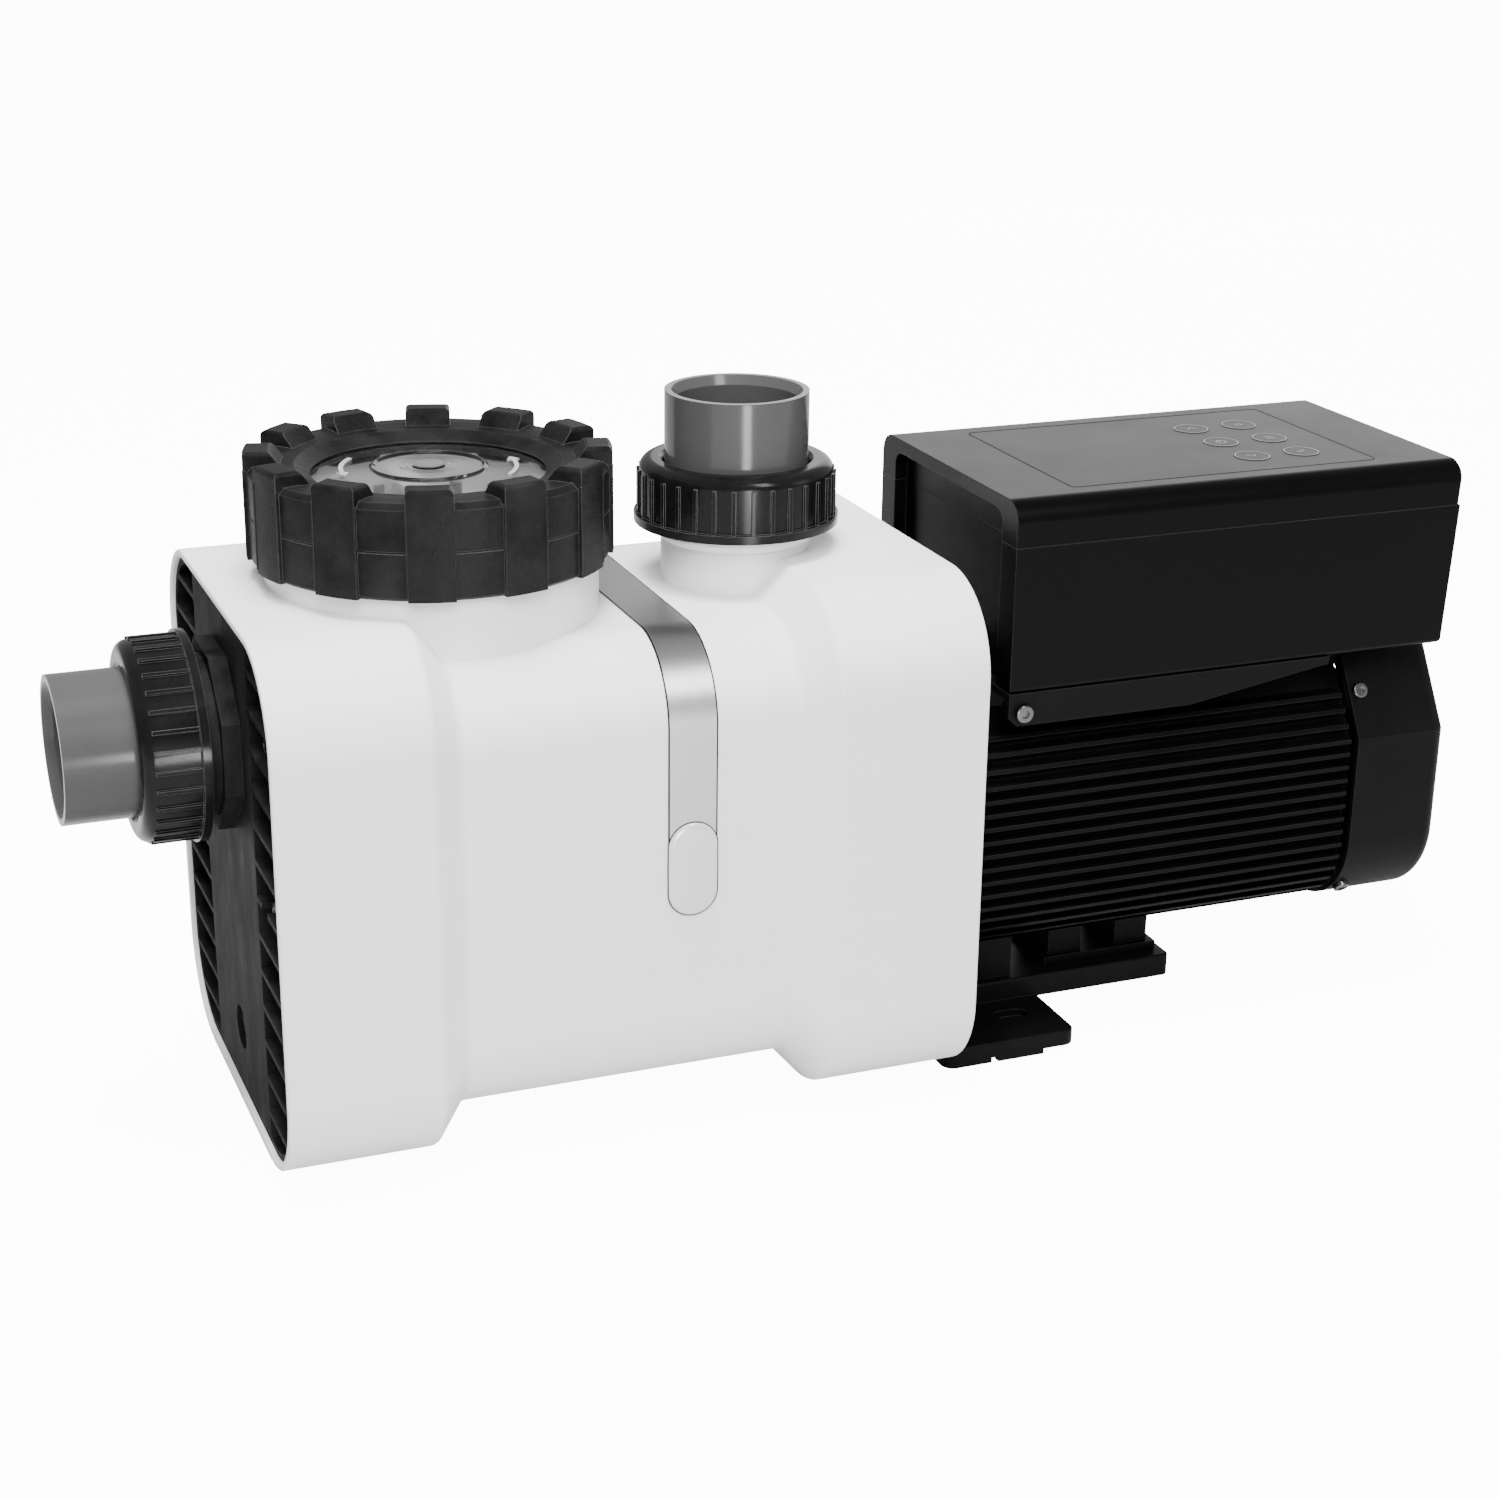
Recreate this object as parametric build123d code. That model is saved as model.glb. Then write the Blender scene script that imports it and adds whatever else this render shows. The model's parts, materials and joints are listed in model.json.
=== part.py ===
from build123d import *
import os
from math import cos, hypot, radians, sin

# Millimetres. X runs from the suction end to the motor end and is 0 on the discharge axis, Y is 0
# on the mid-plane, Z is 0 on the floor. The written parts are moved so that X is 0 between the
# two fixing holes of the foot.

# Clearances
gap = 0.3
run_gap = 0.03
ring_squeeze = 0.05
lap = 1.0  # how far joined shapes and cuts run past each other
far = 400.0  # beyond every part

# Screws, as shares of the head
screw_round = 0.3
screw_socket_size = 0.5
screw_socket_depth = 0.4

# Cover
cover_width = 248.0
cover_height = 276.0
cover_corner = 49.0
cover_wall = 4.0
cover_overhang = 90.0
cover_floor_gap = 10.0
cover_lip = 0.75
cover_rear_inset = 4.0
left_pad_length = 78.0
right_pad_length = 81.0
pad_slope = 16.0
pad_soften = 5.0
slope_shift = 0.4  # share of the wall by which the slopes move inwards
recess_side = 14.0
recess_top = 18.0
recess_bottom = 18.0
recess_corner = 42.0
ring_sleeve_wall = 3.5
ring_sleeve_gap = 0.6
foot_window_gap = 2.0
tray_half_width = 74.0
motor_slot_gap = 2.5

# Trim strip and badge
strip_width = 26.0
strip_offset = 64.4
strip_thickness = 0.6
badge_length = 49.5
badge_thickness = 2.4
badge_top = 177.5
badge_bevel = 1.4
badge_gap = 0.15

# Strainer
strainer_offset = 164.0
chamber_radius = 71.0
chamber_wall = 7.0
strainer_lift = 4.0
strainer_room = 34.0
chamber_floor_wall = 6.0
neck_thread_radius = 80.0
neck_rise = 34.5
ledge_depth = 11.0
ledge_width = 3.0
outlet_bore = 30.0
outlet_socket_radius = 36.0
outlet_socket_depth = 30.0
outlet_wall = 6.0
panel_plate_wall = 6.0
panel_plate_half_width = 92.0
panel_plate_inset_low = 34.0
panel_plate_inset_high = 36.0
panel_web_offset = 44.0
panel_web_wall = 5.0
panel_screw_margin = 18.0
outlet_reach = 14.0
spigot_gap = 2.0
ledge_wall = 12.0
suction_root = 7.0

# Basket
basket_wall = 2.0
basket_clearance = 4.0
basket_floor_gap = 3.0
basket_rim_wall = 3.0
basket_slot_count = 20
basket_slot_rows = 3
basket_slot_width = 7.0
basket_rib_height = 12.0
basket_handle_width = 12.0
basket_handle_drop = 12.0
basket_handle_top = 3.0
basket_grip_half_width = 20.0
basket_window_margin = 2.0

# Lid and its ring
ring_gap = 10.9
ring_radius = 89.5
ring_rim_height = 47.1
ring_lip_radius = 66.3
ring_lip_bore = 58.5
ring_lip_edge = 0.8
ring_dish = 1.0
lug_radius = 91.3
lug_height = 54.1
lug_width = 23.0
lug_depth = 13.0
lug_count = 12
ring_seam = 0.5
ring_chamfer = 3.0
lug_slope = 6.0
lug_round = 2.5
lid_flange_wall = 5.7
lid_plug_depth = 4.0
lid_window_wall = 5.0
lid_ridge_radius = 28.0
lid_ridge_height = 1.0
lid_ridge_width = 1.0
lid_dome_rise = 3.0
lid_plug_wall = 6.0
lid_disc_radius = 8.5

# Unions
union_thread_radius = 40.77
union_thread_height = 18.0
union_bore = 29.0
union_nut_height = 33.15
union_nut_radius = 50.6
union_flange_radius = 53.4
union_flange_height = 4.5
union_rib_count = 32
union_rib_width = 2.0
union_rib_height = 1.4
union_rib_top = 27.0
union_nut_round = 6.0
union_nut_chamfer = 2.0
tail_radius = 37.5
tail_length = 68.4
tail_collar_radius = 39.2
tail_collar_height = 7.9
socket_radius = 31.5
socket_depth = 38.0
socket_chamfer = 2.5
adapter_collar_radius = 43.5
adapter_collar_height = 4.2
adapter_socket_depth = 8.0
thread_chamfer = 1.0
discharge_union_rise = 13.05
discharge_neck_radius = 34.5
discharge_sleeve_wall = 4.5
suction_union_stand_off = 13.1
suction_drop = 72.4
suction_neck_radius = 36.0
seal_section = 2.8
seal_groove_depth = 2.6
seal_groove_wall = 2.5

# End panel
panel_inset = 2.5
panel_depth = 11.0
panel_skin = 3.0
panel_flat_half_width = 63.0
panel_rib_wall = 3.0
panel_rib_pitch = 19.5
panel_frame_wall = 3.5
panel_boss_flats = 90.0
panel_boss_height = 9.0
panel_pocket_gap = 1.5
panel_screw_offset = 80.0
panel_screw_radius = 3.0
panel_screw_head_radius = 5.0
panel_screw_head_height = 3.5
drain_rise = 40.0
drain_bore = 6.0
drain_tube_wall = 5.5
drain_head_radius = 10.0
drain_head_height = 6.0
drain_shank_length = 16.0
drain_slot_width = 3.0
drain_slot_depth = 2.5
drain_chamfer = 1.0
drain_bore_gap = 0.1

# Pump casing
casing_room = 7.5
casing_bore = 80.0
casing_wall = 6.0
casing_half_length = 40.0
casing_flange_radius = 96.0
casing_flange_wall = 7.0
casing_bolt_circle = 90.8
casing_bolt_radius = 3.0
casing_bolt_head_radius = 4.6
casing_bolt_head_height = 4.0
casing_bolt_count = 8
spigot_radius = 35.7
seal_housing_wall = 10.0
seal_housing_spigot = 6.0
casing_ring_section = 2.8
seat_recess = 2.0
groove_gap = 0.3
press_gap = 0.2

# Impeller and diffuser
impeller_radius = 62.0
impeller_plate_wall = 3.0
impeller_width = 21.0
impeller_front = -20.0
impeller_eye = 27.0
impeller_eye_wall = 3.0
impeller_eye_length = 12.0
impeller_hub_radius = 17.0
impeller_vane_count = 6
impeller_vane_wall = 3.0
impeller_vane_sweep = 40.0
diffuser_plate_wall = 5.0
diffuser_vane_count = 7
diffuser_vane_length = 30.0
diffuser_vane_wall = 3.5
diffuser_vane_gap = 4.0
diffuser_vane_sweep = 14.0
vane_bend = 0.6  # share of the sweep reached at mid length

# Shaft seal
seal_gap = 0.1
seal_ring_radius = 17.0
seal_ring_length = 14.0
seal_ring_step = 2.5
seat_radius = 20.0
seat_bore = 12.0
seat_length = 8.0

# Shaft and bearings
shaft_wet_radius = 10.0
shaft_front_radius = 12.5
shaft_collar_radius = 16.0
shaft_core_radius = 14.0
shaft_rear_radius = 8.5
shaft_fan_radius = 7.0
shaft_end_spare = 1.0
front_bearing_radius = 26.0
front_bearing_width = 15.0
rear_bearing_radius = 20.0
rear_bearing_width = 12.0
bearing_groove = 1.0
bearing_race = 0.32  # share of the section that each ring takes
slinger_radius = 22.0
slinger_width = 4.0
slinger_offset = 12.0
collar_length = 8.0

# Motor
flange_length = 42.0
flange_plate_wall = 8.0
flange_bell_radius = 66.0
flange_bell_wall = 8.0
flange_bell_depth = 14.0
bearing_lip = 5.0
bearing_seat_wall = 6.0
motor_length = 254.0
motor_side_wall = 11.0
motor_low_wall = 5.5
motor_low_corner = 45.0
motor_shoulder_rise = 34.5
motor_top_half_width = 50.0
motor_top_wall = 21.5
motor_bore = 58.0
fin_depth = 8.0
fin_wall = 2.2
fin_pitch = 7.8
fin_count = 17
fin_first_rise = 3.5
fin_end_margin = 4.0
motor_rail_half_width = 26.0
spigot_length = 6.0
stator_front = 36.0
stator_length = 160.0
rotor_radius = 37.6
air_gap = 0.4
winding_wall = 15.0
winding_length = 18.0
winding_inset = 1.0
rear_shield_wall = 6.0
rear_hub_radius = 28.0
rear_hub_length = 28.0
rear_bearing_inset = 4.0
rear_shield_lip = 4.0
shield_web_wall = 8.0
cage_ring_length = 6.0
cage_ring_wall = 11.0
stator_slot_count = 24
stator_slot_width = 3.0
stator_slot_depth = 8.0
winding_round = 3.0
lug_block_width = 16.0
lug_block_depth = 32.0
lug_block_length = 11.0

# Fan and cowl
cowl_length = 59.0
cowl_wall = 3.0
cowl_outset = 1.5
cowl_round = 9.0
cowl_top_half_width = 50.0
cowl_top_length = 47.0
cowl_top_depth = 12.0
grille_slot_count = 24
grille_slot_width = 5.0
grille_inner_radius = 20.0
grille_outer_radius = 58.0
cowl_screw_back = 6.0
cowl_screw_lift = 23.0
cowl_screw_radius = 2.5
cowl_screw_head_radius = 4.5
cowl_screw_head_height = 3.0
cowl_screw_length = 14.0
fan_radius = 56.0
fan_hub_radius = 14.0
fan_width = 20.0
fan_hub_length = 24.0
fan_blade_count = 9
fan_blade_wall = 3.0
fan_disc_wall = 3.0
fan_clearance = 14.0

# Control box
box_inset = 30.0
box_length = 272.0
box_taper = 5.0
box_half_width = 84.0
box_rise = 9.0
box_base_height = 79.0
box_lid_height = 24.0
box_corner = 11.0
box_wall = 3.5
box_lid_wall = 5.5
box_end_chamfer = 2.0
box_bottom_round = 3.0
box_side_wall = 5.5
hood_depth = 7.5
hood_side_wall = 17.0
hood_top_wall = 7.5
hood_inner_round = 8.0
keypad_length = 190.0
keypad_half_width = 65.0
keypad_inset = 40.0
keypad_wall = 0.8
keypad_corner = 5.0
key_radius = 9.8
key_height = 1.5
key_proud = 0.2
key_travel = 0.4
key_well_spare = 0.8
key_inset = 127.0
key_pitch_x = 31.0
key_pitch_y = 33.0
key_centre_y = -2.0
board_margin = 22.0
board_wall = 1.6
board_rise = 20.0
board_post_radius = 4.0
board_post_margin = 8.0
board_sink_left = 30.0
board_sink_length = 40.0
board_sink_half_width = 25.0
board_sink_height = 22.0
board_can_margin = 40.0
board_can_pitch = 24.0
board_can_radius = 9.0
board_can_height = 28.0
gland_inset = 44.0
gland_rise = 26.0
gland_radius = 12.0
gland_length = 22.0
gland_bore = 6.0
gland_nut_radius = 14.0
gland_nut_wall = 5.0
gland_chamfer = 2.0
key_chamfer = 0.3

# Bracket between motor and box
bracket_length = 109.0
bracket_slope = 86.0
bracket_depth = 18.0
bracket_plate_wall = 4.0
bracket_side_wall = 4.0
bracket_corner = 5.0
bracket_boss_radius = 7.0
bracket_boss_length = 12.0
bracket_screw_x = 8.5
bracket_screw_drop = 10.8
bracket_screw_radius = 3.0
bracket_screw_head_radius = 5.0
bracket_screw_head_height = 3.0

# Foot
foot_inset = 2.0
foot_length = 80.0
foot_half_width = 84.0
foot_top = 12.0
foot_pad_height = 3.0
foot_pad_width = 28.0
foot_pad_gap = 4.0
foot_corner = 7.0
foot_hole_radius = 5.5
foot_hole_spacing = 110.0
foot_hole_inset = 53.5
foot_pocket_length = 20.0
foot_pocket_depth = 4.0
foot_pocket_width = 12.0
foot_post_length = 65.0
foot_post_half_width = 30.0
foot_post_inset = 6.0
foot_pad_inner_share = 0.4
foot_round = 1.5
beam_corner = 5.0
beam_length = 166.0
beam_half_width = 36.0
beam_low = 11.0
beam_top = 24.0
beam_wall = 4.0
saddle_inset = 94.0
saddle_pitch = 43.0
saddle_block_length = 21.0
saddle_half_width = 20.0
saddle_base_wall = 4.0
saddle_margin = 4.0
foot_screw_radius = 4.0
foot_screw_head_radius = 6.5
foot_screw_head_height = 5.0
foot_screw_spacing = 34.0
foot_screw_depth = 8.0
foot_screw_grip = 14.0
foot_screw_head_gap = 1.0

# Strainer foot
strainer_foot_half_width = 38.0
strainer_foot_length = 34.0
strainer_foot_offset = 56.0
strainer_foot_plate = 6.0
strainer_foot_post = 22.0
strainer_foot_rib = 6.0

# Places that follow from the sizes
cover_left = -strainer_offset - chamber_radius - chamber_wall - strainer_room
cover_top = cover_floor_gap + cover_height
cover_middle = cover_floor_gap + cover_height / 2
recess_left = cover_left + left_pad_length + pad_slope
recess_right = cover_overhang - right_pad_length - pad_slope
recess_level = cover_top - recess_top
recess_half_width = cover_width / 2 - recess_side
recess_floor = cover_floor_gap + recess_bottom + cover_wall
shaft_height = recess_floor + casing_room + casing_wall + casing_bore
strainer_base = recess_floor + strainer_lift
chamber_floor = strainer_base + chamber_floor_wall
discharge_union_height = cover_top + discharge_union_rise
suction_height = cover_top - suction_drop
suction_union_reach = suction_union_stand_off - cover_left
drain_height = cover_floor_gap + drain_rise
panel_plate_low = cover_floor_gap + panel_plate_inset_low
panel_plate_high = cover_top - panel_plate_inset_high
ring_bottom = cover_top + ring_gap
neck_top = ring_bottom + neck_rise
ring_thread_radius = neck_thread_radius + gap
ring_sleeve_radius = neck_thread_radius + gap + ring_sleeve_wall
lid_seat = neck_top + gap
lid_top = lid_seat + lid_flange_wall
lip_underside = lid_top + gap
ledge_level = neck_top - ledge_depth
basket_radius = chamber_radius - ledge_width - basket_clearance / 2
basket_low = chamber_floor + basket_floor_gap
basket_top = ledge_level + basket_rim_wall + gap
panel_face = cover_left + panel_inset
panel_back = panel_face + panel_depth
outlet_end = -casing_half_length - outlet_reach
spigot_end = outlet_end - outlet_socket_depth + spigot_gap
seal_housing_right = casing_half_length + seal_housing_wall
motor_front = seal_housing_right + flange_length
motor_rear = motor_front + motor_length
motor_half_width = motor_bore + motor_side_wall + fin_depth
motor_low = shaft_height - motor_bore - motor_low_wall - fin_depth
motor_side_top = shaft_height + motor_shoulder_rise
motor_top = shaft_height + motor_bore + motor_top_wall
cowl_rear = motor_rear + cowl_length
cowl_screw_rise = motor_side_top + cowl_screw_lift
shaft_end = cowl_rear - fan_clearance + shaft_end_spare
front_bearing_left = motor_front - front_bearing_width
rear_bearing_left = motor_rear - rear_hub_length + rear_bearing_inset
stator_left = motor_front + stator_front
stator_right = stator_left + stator_length
rear_lug_x = motor_rear + cowl_screw_back
slinger_left = seal_housing_right + slinger_offset
impeller_back = impeller_front + impeller_width
seat_end = casing_half_length + seat_recess
seat_left = seat_end - seat_length
impeller_hub_end = seat_left - seal_gap - seal_ring_length
box_left = motor_front + box_inset
box_right = box_left + box_length
box_bottom = motor_top + box_rise
box_seam = box_bottom + box_base_height
box_top = box_seam + box_lid_height
keypad_left = box_left + keypad_inset
key_first_x = keypad_left + key_inset
gland_x = box_right - gland_inset
gland_height = box_bottom + gland_rise
bracket_low = box_bottom - bracket_depth
bracket_screw_height = box_bottom - bracket_screw_drop
foot_left = motor_front + foot_inset
foot_hole_x = foot_left + foot_hole_inset
beam_right = foot_left + beam_length
saddle_left = foot_left + saddle_inset
foot_hole_y = foot_hole_spacing / 2
foot_screw_seat = motor_low - foot_screw_grip
sleeve_radius = discharge_neck_radius + gap + discharge_sleeve_wall
adapter_shoulder = -adapter_collar_height - gap
adapter_foot = adapter_shoulder - (adapter_collar_radius - sleeve_radius)


def block(x0, x1, y0, y1, z0, z1):
    """Box between two corners."""
    middle = ((x0 + x1) / 2, (y0 + y1) / 2, (z0 + z1) / 2)
    return Pos(*middle) * Box(x1 - x0, y1 - y0, z1 - z0)


def turned(*points):
    """Ring or disc turned about Z from (radius, height) points."""
    return revolve(Plane.XZ * make_face(Polyline(*points, close=True)), Axis.Z)


def tube(outer, inner, low, high):
    """Plain tube about Z."""
    return turned((inner, low), (outer, low), (outer, high), (inner, high))


def rod(radius, low, high):
    """Cylinder about Z."""
    return Pos(0, 0, (low + high) / 2) * Cylinder(radius, high - low)


def seal_ring(inner, outer, height):
    """Round-section ring about Z, its section centred at the given height."""
    return Pos(0, 0, height) * Torus((inner + outer) / 2, (outer - inner) / 2)


def on_shaft(part):
    """Lay a part made about Z along the shaft, height 0 going to the discharge axis."""
    return Pos(0, 0, shaft_height) * Rot(0, 90, 0) * part


def around(part, count, start=0.0):
    """Copies of a part spaced evenly about Z."""
    return [Rot(0, 0, start + 360 / count * i) * part for i in range(count)]


def screw(shank_radius, shank_length, head_radius, head_height):
    """Socket screw about Z, its head resting on height 0 and its shank below."""
    body = rod(shank_radius, -shank_length, 0) + rod(head_radius, 0, head_height)
    body = fillet(body.edges().group_by(Axis.Z)[-1], head_height * screw_round)
    recess = extrude(RegularPolygon(head_radius * screw_socket_size, 6), head_height)
    return body - Pos(0, 0, head_height * (1 - screw_socket_depth)) * recess


# ---------------------------------------------------------------- cover


def cover_section(x, inset, recessed):
    """Rounded rectangular section of the cover at x."""
    side = recess_side if recessed else 0.0
    low = cover_floor_gap + inset + (recess_bottom if recessed else 0.0)
    high = cover_top - inset - (recess_top if recessed else 0.0)
    corner = (recess_corner if recessed else cover_corner) - inset
    plane = Plane(origin=(x, 0, (low + high) / 2), x_dir=(0, 1, 0), z_dir=(1, 0, 0))
    return plane * RectangleRounded(cover_width - 2 * (side + inset), high - low, corner)


def cover_form(inset, overrun=0.0):
    """Solid of the cover's stepped outside, moved inwards by inset."""
    shift = inset * slope_shift
    stations = (
        (cover_left - overrun, False),
        (recess_left - pad_slope - shift, False),
        (recess_left - shift, True),
        (recess_right + shift, True),
        (recess_right + pad_slope + shift, False),
        (cover_overhang + overrun, False),
    )
    form = Part()
    for (x0, recessed0), (x1, recessed1) in zip(stations, stations[1:]):
        start = cover_section(x0, inset, recessed0)
        if recessed0 == recessed1:
            form += extrude(start, x1 - x0, dir=(1, 0, 0))
        else:
            form += loft([start, cover_section(x1, inset, recessed1)])
    return form


def strainer_axis(part):
    """Move a part made about Z on to the strainer's axis."""
    return Pos(-strainer_offset, 0, 0) * part


def edges_across(part, x):
    """Edges of a part that lie wholly in the cross-section at x."""
    low, high = x - ring_squeeze, x + ring_squeeze
    return part.edges().filter_by_position(Axis.X, low, high).filter_by(
        lambda edge: edge.bounding_box().size.X < ring_squeeze
    )


def softened_form():
    """Outside of the cover with its two steps rounded over."""
    form = cover_form(0.0)
    steps = (recess_left - pad_slope, recess_left, recess_right, recess_right + pad_slope)
    for x in steps:
        form = fillet(edges_across(form, x), pad_soften)
    return form


def cover_shell():
    """Whole cover, both its halves in one, with necks and rear wall."""
    outside = softened_form()
    sleeve_top = ring_bottom - ring_sleeve_gap
    outside += strainer_axis(rod(ring_sleeve_radius, shaft_height, sleeve_top))
    outside += rod(sleeve_radius, shaft_height, discharge_union_height + adapter_foot)
    wall_right = cover_overhang - cover_rear_inset
    rear_wall = block(wall_right - cover_wall, wall_right, -far, far, 0, far)
    shell = outside - (cover_form(cover_wall, lap) - rear_wall)
    shell -= strainer_axis(rod(ring_thread_radius, shaft_height, far))
    shell -= rod(discharge_neck_radius + gap, shaft_height, far)
    return shell - motor_slot()


def motor_slot():
    """Opening of the cover's rear wall round the motor, open downwards."""
    left = cover_overhang - cover_rear_inset - cover_wall - lap
    right = cover_overhang + lap
    opening = motor_prism(-motor_slot_gap, left, right)
    half = motor_half_width + motor_slot_gap
    low = cover_floor_gap + cover_wall
    return opening + block(left, right, -half, half, low, motor_side_top)


def tray_zone():
    """Space of the cover's floor between the two long seams."""
    top = cover_floor_gap + recess_bottom + 2 * cover_wall
    return block(
        cover_left - lap, cover_overhang + lap, -tray_half_width, tray_half_width, 0, top
    )


def strainer_foot_window():
    """Window in the floor for the strainer's foot."""
    length = strainer_foot_length / 2 + foot_window_gap
    width = strainer_foot_half_width + foot_window_gap
    window = block(-length, length, -width, width, -lap, strainer_base)
    return strainer_axis(Pos(-strainer_foot_offset, 0, 0) * window)


def cover_hood():
    """Upper cover: everything but the floor."""
    hood = cover_shell() - tray_zone()
    return chamfer(edges_across(hood, cover_left), cover_lip)


def cover_tray():
    """Floor of the cover."""
    return (cover_shell() & tray_zone()) - strainer_foot_window()


def strip_section(outset):
    """Outline of the recess, moved outwards."""
    return cover_section(-strip_offset, -outset, True)


def badge_outline(spare):
    """Upright oval of the badge, reaching through the cover's front."""
    length = badge_length + 2 * spare
    height = badge_top - badge_length / 2
    plane = Plane(origin=(-strip_offset, 0, height), x_dir=(0, 0, 1), z_dir=(0, -1, 0))
    return plane * SlotOverall(length, strip_width + 2 * spare)


def trim_strip():
    """Thin metal band over front, top and back, ending behind the badge."""
    half = strip_width / 2
    start = Pos(-half, 0, 0)
    band = start * extrude(strip_section(strip_thickness), strip_width, dir=(1, 0, 0))
    band -= start * extrude(strip_section(0.0), strip_width, dir=(1, 0, 0))
    end = badge_top - badge_length / 2
    band &= block(-far, far, -far, far, end, far)
    return band - extrude(badge_outline(badge_gap), far)


def badge():
    """Domed clear oval."""
    plate = extrude(badge_outline(0.0), recess_half_width + badge_thickness)
    plate -= block(-far, far, -recess_half_width, far, 0, far)
    return chamfer(plate.faces().sort_by(Axis.Y)[0].edges(), badge_bevel)


# ---------------------------------------------------------------- strainer


def suction_axis(part):
    """Lay a union part made about Z along -X, height 0 going to the nut's inner face."""
    return Pos(-suction_union_reach, 0, suction_height) * Rot(0, -90, 0) * part


def discharge_axis(part):
    """Raise a union part made about Z, height 0 going to the nut's lower face."""
    return Pos(0, 0, discharge_union_height) * part


def union_groove():
    """Groove for the union's seal ring in the threaded end's face."""
    inner = union_bore + seal_groove_wall
    outer = inner + seal_section + 2 * ring_squeeze
    return tube(outer, inner, union_thread_height - seal_groove_depth, union_thread_height + lap)


def union_seal():
    """Seal ring of a union."""
    inner = union_bore + seal_groove_wall + ring_squeeze
    height = union_thread_height - seal_groove_depth + ring_squeeze + seal_section / 2
    return seal_ring(inner, inner + seal_section, height)


def panel_plate():
    """Plate behind the end panel that takes its screws, with the webs that carry it."""
    left = panel_back
    right = left + panel_plate_wall
    half = panel_plate_half_width
    plate = block(left, right, -half, half, panel_plate_low, panel_plate_high)
    for side in (-1, 1):
        y = side * panel_web_offset
        low, high = y - panel_web_wall / 2, y + panel_web_wall / 2
        plate += block(
            right - lap, -strainer_offset, low, high, panel_plate_low, panel_plate_high
        )
    return plate


def outlet_tube():
    """Socket of the strainer's outlet that takes the casing's spigot."""
    outer = outlet_socket_radius + outlet_wall
    return on_shaft(rod(outer, -strainer_offset, outlet_end))


def panel_screw_places():
    """Centres of the end panel's screws as (y, z)."""
    low = panel_plate_low + panel_screw_margin
    high = panel_plate_high - panel_screw_margin
    heights = (low, (low + high) / 2, high)
    return [(side * panel_screw_offset, z) for side in (-1, 1) for z in heights]


def strainer_housing():
    """Strainer chamber with suction neck, ring neck, outlet and drain."""
    outer = chamber_radius + chamber_wall
    body = strainer_axis(
        rod(outer, strainer_base, recess_level - 2 * cover_wall)
        + rod(neck_thread_radius, recess_level - 3 * cover_wall, neck_top)
    )
    body += panel_plate()
    body += outlet_tube()
    body += suction_axis(
        rod(suction_neck_radius, strainer_offset - suction_union_reach, union_thread_height)
        + rod(union_thread_radius, -suction_root, union_thread_height)
    )
    drain_outer = drain_bore + drain_tube_wall
    body += drain_axis(rod(drain_outer, panel_back + strainer_offset, 0))
    body -= strainer_axis(rod(chamber_radius - ledge_width, chamber_floor, neck_top + lap))
    body -= strainer_axis(rod(chamber_radius, chamber_floor, ledge_level - ledge_wall))
    body -= strainer_axis(rod(chamber_radius, ledge_level, neck_top + lap))
    body -= suction_axis(
        rod(union_bore, strainer_offset - suction_union_reach, union_thread_height + lap)
    )
    body -= suction_axis(union_groove())
    body -= on_shaft(rod(outlet_bore, -strainer_offset, outlet_end + lap))
    body -= on_shaft(rod(outlet_socket_radius, outlet_end - outlet_socket_depth, outlet_end + lap))
    body -= drain_axis(rod(drain_bore + drain_bore_gap, panel_back + strainer_offset, lap))
    body -= strainer_axis(lid_groove())
    for y, z in panel_screw_places():
        hole = Pos(panel_back, y, z) * Rot(0, 90, 0)
        body -= hole * rod(panel_screw_radius, -lap, panel_plate_wall + lap)
    return body


def strainer_foot():
    """Support under the strainer that stands on the floor."""
    half = strainer_foot_length / 2
    top = strainer_base
    post = strainer_foot_post / 2
    width = strainer_foot_half_width
    rib = strainer_foot_rib / 2
    foot = block(-half, half, -width, width, 0, strainer_foot_plate)
    foot += block(-post, post, -width, width, top - strainer_foot_plate, top)
    for y in (rib - width, 0, width - rib):
        foot += block(-post, post, y - rib, y + rib, 0, top)
    foot += block(-rib, rib, -width, width, 0, top)
    return strainer_axis(Pos(-strainer_foot_offset, 0, 0) * foot)


def lid_groove():
    """Groove for the lid's seal ring in the neck's top face."""
    middle = (chamber_radius + neck_thread_radius) / 2
    half = seal_section / 2 + ring_squeeze
    return tube(middle + half, middle - half, neck_top - seal_groove_depth, neck_top + lap)


def lid_o_ring():
    """Seal ring under the lid."""
    middle = (chamber_radius + neck_thread_radius) / 2
    height = neck_top - seal_groove_depth + ring_squeeze + seal_section / 2
    half = seal_section / 2
    return strainer_axis(seal_ring(middle - half, middle + half, height))


def sight_lid():
    """Clear lid, domed inside the ring's lip, with a ridge and a centre disc."""
    plug = chamber_radius - 2 * gap
    edge = ring_thread_radius - 2 * gap
    low = neck_top - lid_plug_depth
    crown = lid_top + lid_dome_rise
    ridge = crown + lid_ridge_height
    half = lid_ridge_width / 2
    lid = turned(
        (0, crown - lid_window_wall),
        (lid_ridge_radius, crown - lid_window_wall),
        (ring_lip_bore, lid_top - lid_window_wall),
        (plug - lid_plug_wall, low),
        (plug, low),
        (plug, lid_seat),
        (edge, lid_seat),
        (edge, lid_top),
        (ring_lip_bore, lid_top),
        (lid_ridge_radius + half + lid_ridge_width, crown),
        (lid_ridge_radius + half, ridge),
        (lid_ridge_radius - half, ridge),
        (lid_ridge_radius - half - lid_ridge_width, crown),
        (lid_disc_radius, crown),
        (lid_disc_radius, ridge),
        (0, ridge),
    )
    return strainer_axis(lid)


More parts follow.
